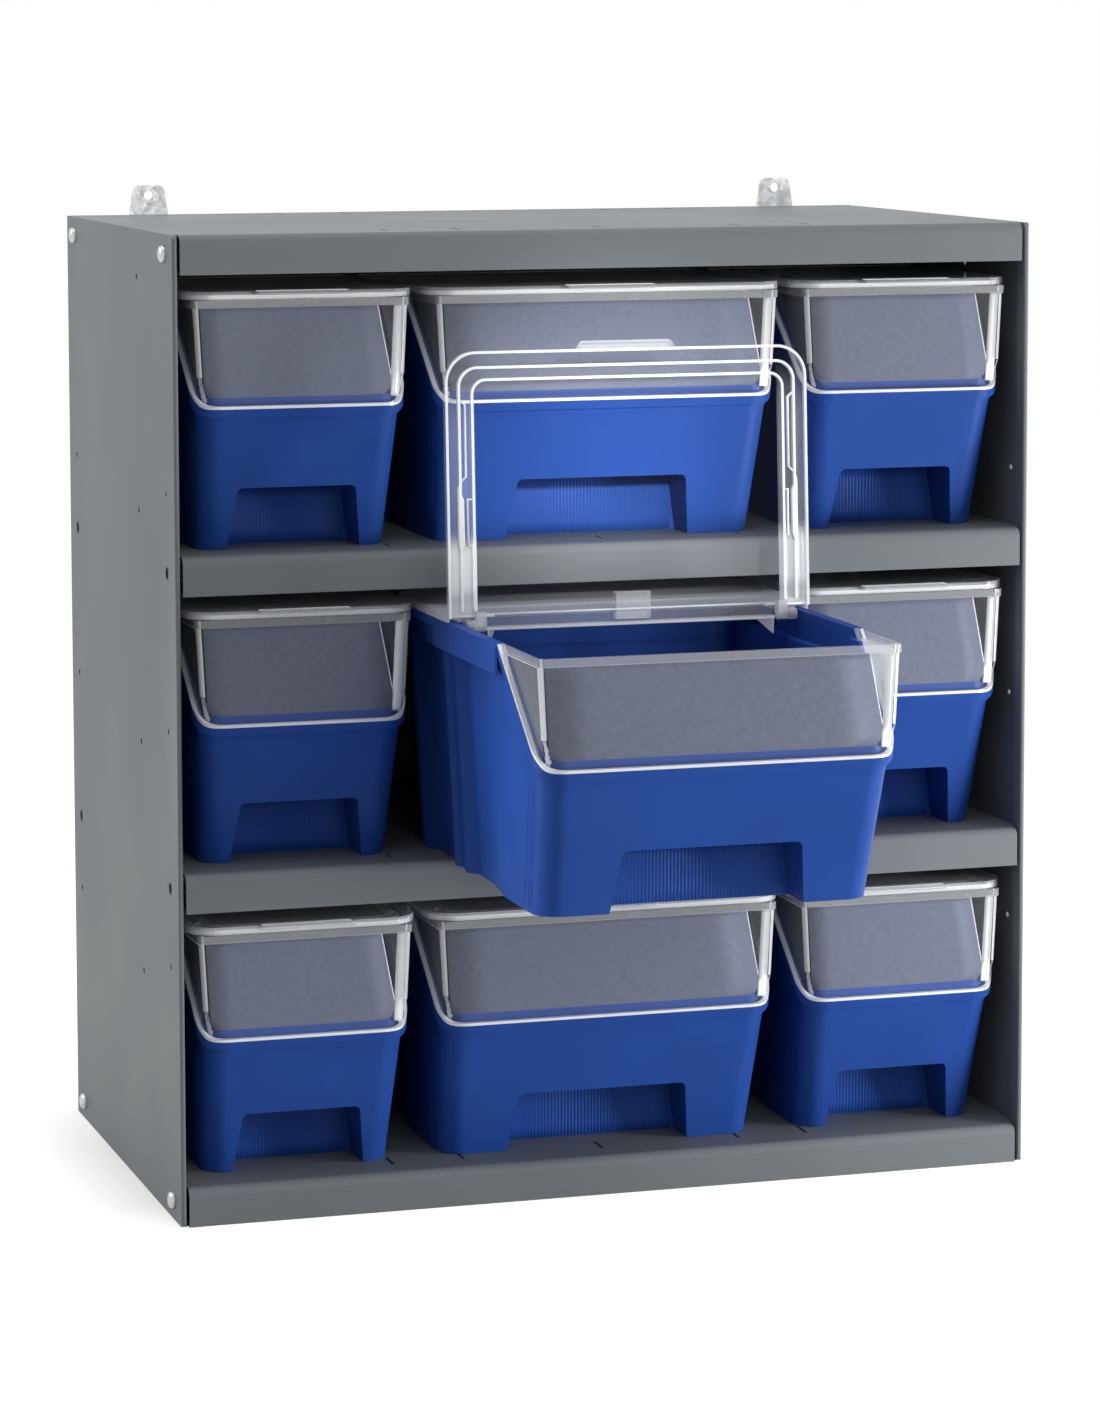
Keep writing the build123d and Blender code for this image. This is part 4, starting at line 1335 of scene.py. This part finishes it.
@dataclass
class Studio:
    """A pale floor, a white world, lamps and the camera.

    The lamps are a low key at the right, broad ones overhead, at the left and in front, and two spots.
    """

    ambient: float = 0.36
    floor_half: float = 30.0
    floor_colour: float = 0.45
    camera_place: Place = (-0.8992, -2.9451, 0.7530)
    yaw: float = math.radians(17.14)
    tilt: float = math.radians(5.785)
    roll: float = math.radians(-0.118)
    lens: float = 115.457
    sensor: float = 36.0
    shift: float = -0.15
    seen_depth: int = 32
    # the painted shadow beside the rack's left foot
    shade: float = 0.42
    shade_reach: Span = (-0.36, -0.28)
    shade_front: Span = (-0.24, -0.10)
    shade_inner: Span = (-0.28, -0.27)
    shade_rear: Span = (0.05, 0.30)
    # the dark sheet under the rack: painted shade that keeps the floor's glow out of the bottom's slots
    under: tuple[float, float, float] = (0.285, 0.164, 0.0002)
    under_shade_colour: float = 0.02
    lamps: tuple[Lamp, ...] = (
        Lamp("key_lamp", (1.15, -0.85, 0.22), (0.1, -0.2, 0.12), 18.3, width=0.4),
        Lamp("top_lamp", (0.1, -0.2, 2.2), (0.0, 0.0, 0.5), 17.5, width=1.6),
        Lamp("left_lamp", (-1.8, 0.45, 1.4), (-0.2, -0.1, 0.50), 18.5, width=1.0),
        Lamp("front_lamp", (0.2, -2.6, 1.0), (0.0, -0.2, 0.3), 13.0, width=1.4),
        Lamp("upper_spot", (-0.1, -1.9, 0.95), (0.0, -0.17, 0.485), 180.0, cone=7.5),
        Lamp("side_spot", (-1.3, 0.12, 0.5), (-0.12, -0.36, 0.29), 48.0, cone=14.0),
    )

    def world(self) -> None:
        """Makes the world: white where it is seen, and a plain level of light elsewhere."""
        world = bpy.data.worlds.new("studio")
        world.use_nodes = True
        sheet = NodeSheet(world.node_tree)
        background = sheet.tree.nodes["Background"]
        sheet.feed(background.inputs["Color"], WHITE)
        sheet.feed(background.inputs["Strength"], sheet.spread(sheet.seen(), self.ambient, 1.0))
        bpy.context.scene.world = world

    def sheet_mesh(self, name: str, half_width: float, half_depth: float, height: float) -> Object:
        """Makes a level rectangle round the origin, linked to the scene.

        Args:
            name: the rectangle's name.
            half_width: half its size along x.
            half_depth: half its size along y.
            height: how high it lies.

        Returns:
            The rectangle.
        """
        turns = ((-1, -1), (1, -1), (1, 1), (-1, 1))
        corners = [(across * half_width, along * half_depth, height) for across, along in turns]
        mesh = bpy.data.meshes.new(name)
        mesh.from_pydata(corners, [], [(0, 1, 2, 3)])
        sheet = shown(name, mesh)
        return sheet

    def floor(self) -> None:
        """Makes the floor, which looks white, with a painted shadow left of the rack, and a dark sheet of
        painted shade under it.

        The floor glows by 1 - tone ambient where it is seen. Beside the rack's left foot the glow falls
        by shade times four ramps, a painted shadow: up towards the foot from the left and from the front,
        and down again under the rack and towards the rear.
        """
        tone = self.floor_colour
        floor = MaterialSheet("studio_floor")
        place = floor.add("ShaderNodeSeparateXYZ")
        floor.feed(place.inputs["Vector"], floor.place())
        across = floor.spread(place.outputs["X"], 0.0, self.shade, *self.shade_reach)
        along = floor.spread(place.outputs["Y"], 0.0, 1.0, *self.shade_front)
        inner = floor.spread(place.outputs["X"], 1.0, 0.0, *self.shade_inner)
        rear = floor.spread(place.outputs["Y"], 1.0, 0.0, *self.shade_rear)
        fall = floor.sum("MULTIPLY", floor.sum("MULTIPLY", across, along), floor.sum("MULTIPLY", inner, rear))
        glow = floor.sum("SUBTRACT", 1.0 - tone * self.ambient, fall)
        floor.set(Base_Color=(tone, tone, tone), Roughness=1.0, Specular_IOR_Level=0.0, Emission_Color=WHITE,
                  Emission_Strength=floor.sum("MULTIPLY", glow, floor.seen()))
        wide = self.sheet_mesh("studio_floor", self.floor_half, self.floor_half, 0.0)
        wide.data.materials.append(floor.material)
        # painted shade: a near-black sheet under the rack
        dark = MaterialSheet("studio_under_shade")
        tone = self.under_shade_colour
        dark.set(Base_Color=(tone, tone, tone), Roughness=1.0, Specular_IOR_Level=0.0)
        self.sheet_mesh("studio_under_shade", *self.under).data.materials.append(dark.material)

    def camera(self) -> None:
        """Makes the camera at the photograph's place, turn and lens."""
        data = bpy.data.cameras.new("camera")
        data.lens = self.lens
        data.sensor_width = self.sensor
        data.shift_y = self.shift
        camera = shown("camera", data)
        camera.matrix_world = (Matrix.Translation(self.camera_place) @ Matrix.Rotation(-self.yaw, 4, "Z")
                               @ Matrix.Rotation(QUARTER_TURN - self.tilt, 4, "X")
                               @ Matrix.Rotation(self.roll, 4, "Z"))
        bpy.context.scene.camera = camera

    def build(self) -> None:
        """Makes the whole studio."""
        self.world()
        self.floor()
        for lamp in self.lamps:
            lamp.hang()
        self.camera()
        scene = bpy.context.scene
        scene.view_settings.view_transform = "Standard"
        scene.cycles.transparent_max_bounces = self.seen_depth


NARROW_RECESS = (88.0 * MM, 31.0 * MM)
WIDE_RECESS = (125.0 * MM, 27.0 * MM)
COLUMN_RECESSES = {"left": NARROW_RECESS, "centre": WIDE_RECESS, "right": NARROW_RECESS}
ROW_NAMES = ("bottom", "middle", "top")


def main() -> None:
    """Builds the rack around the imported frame, then the studio."""
    logging.basicConfig(level=logging.INFO, format="%(name)s: %(message)s")
    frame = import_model()
    joints = {joint["name"]: joint for joint in frame["joints"]}
    pieces = Case(frame["nodes"]).build()
    for row in ROW_NAMES:
        for column, (width, depth) in COLUMN_RECESSES.items():
            prefix = f"{row}_{column}"
            one = Bin(prefix=prefix, nodes=frame["nodes"], hinge_joint=joints[f"{prefix}_flap_hinge"],
                      recess_width=width, recess_depth=depth)
            pieces += one.build()
    for piece in pieces:
        piece.fit()
    Studio().build()


if __name__ == "__main__":
    main()
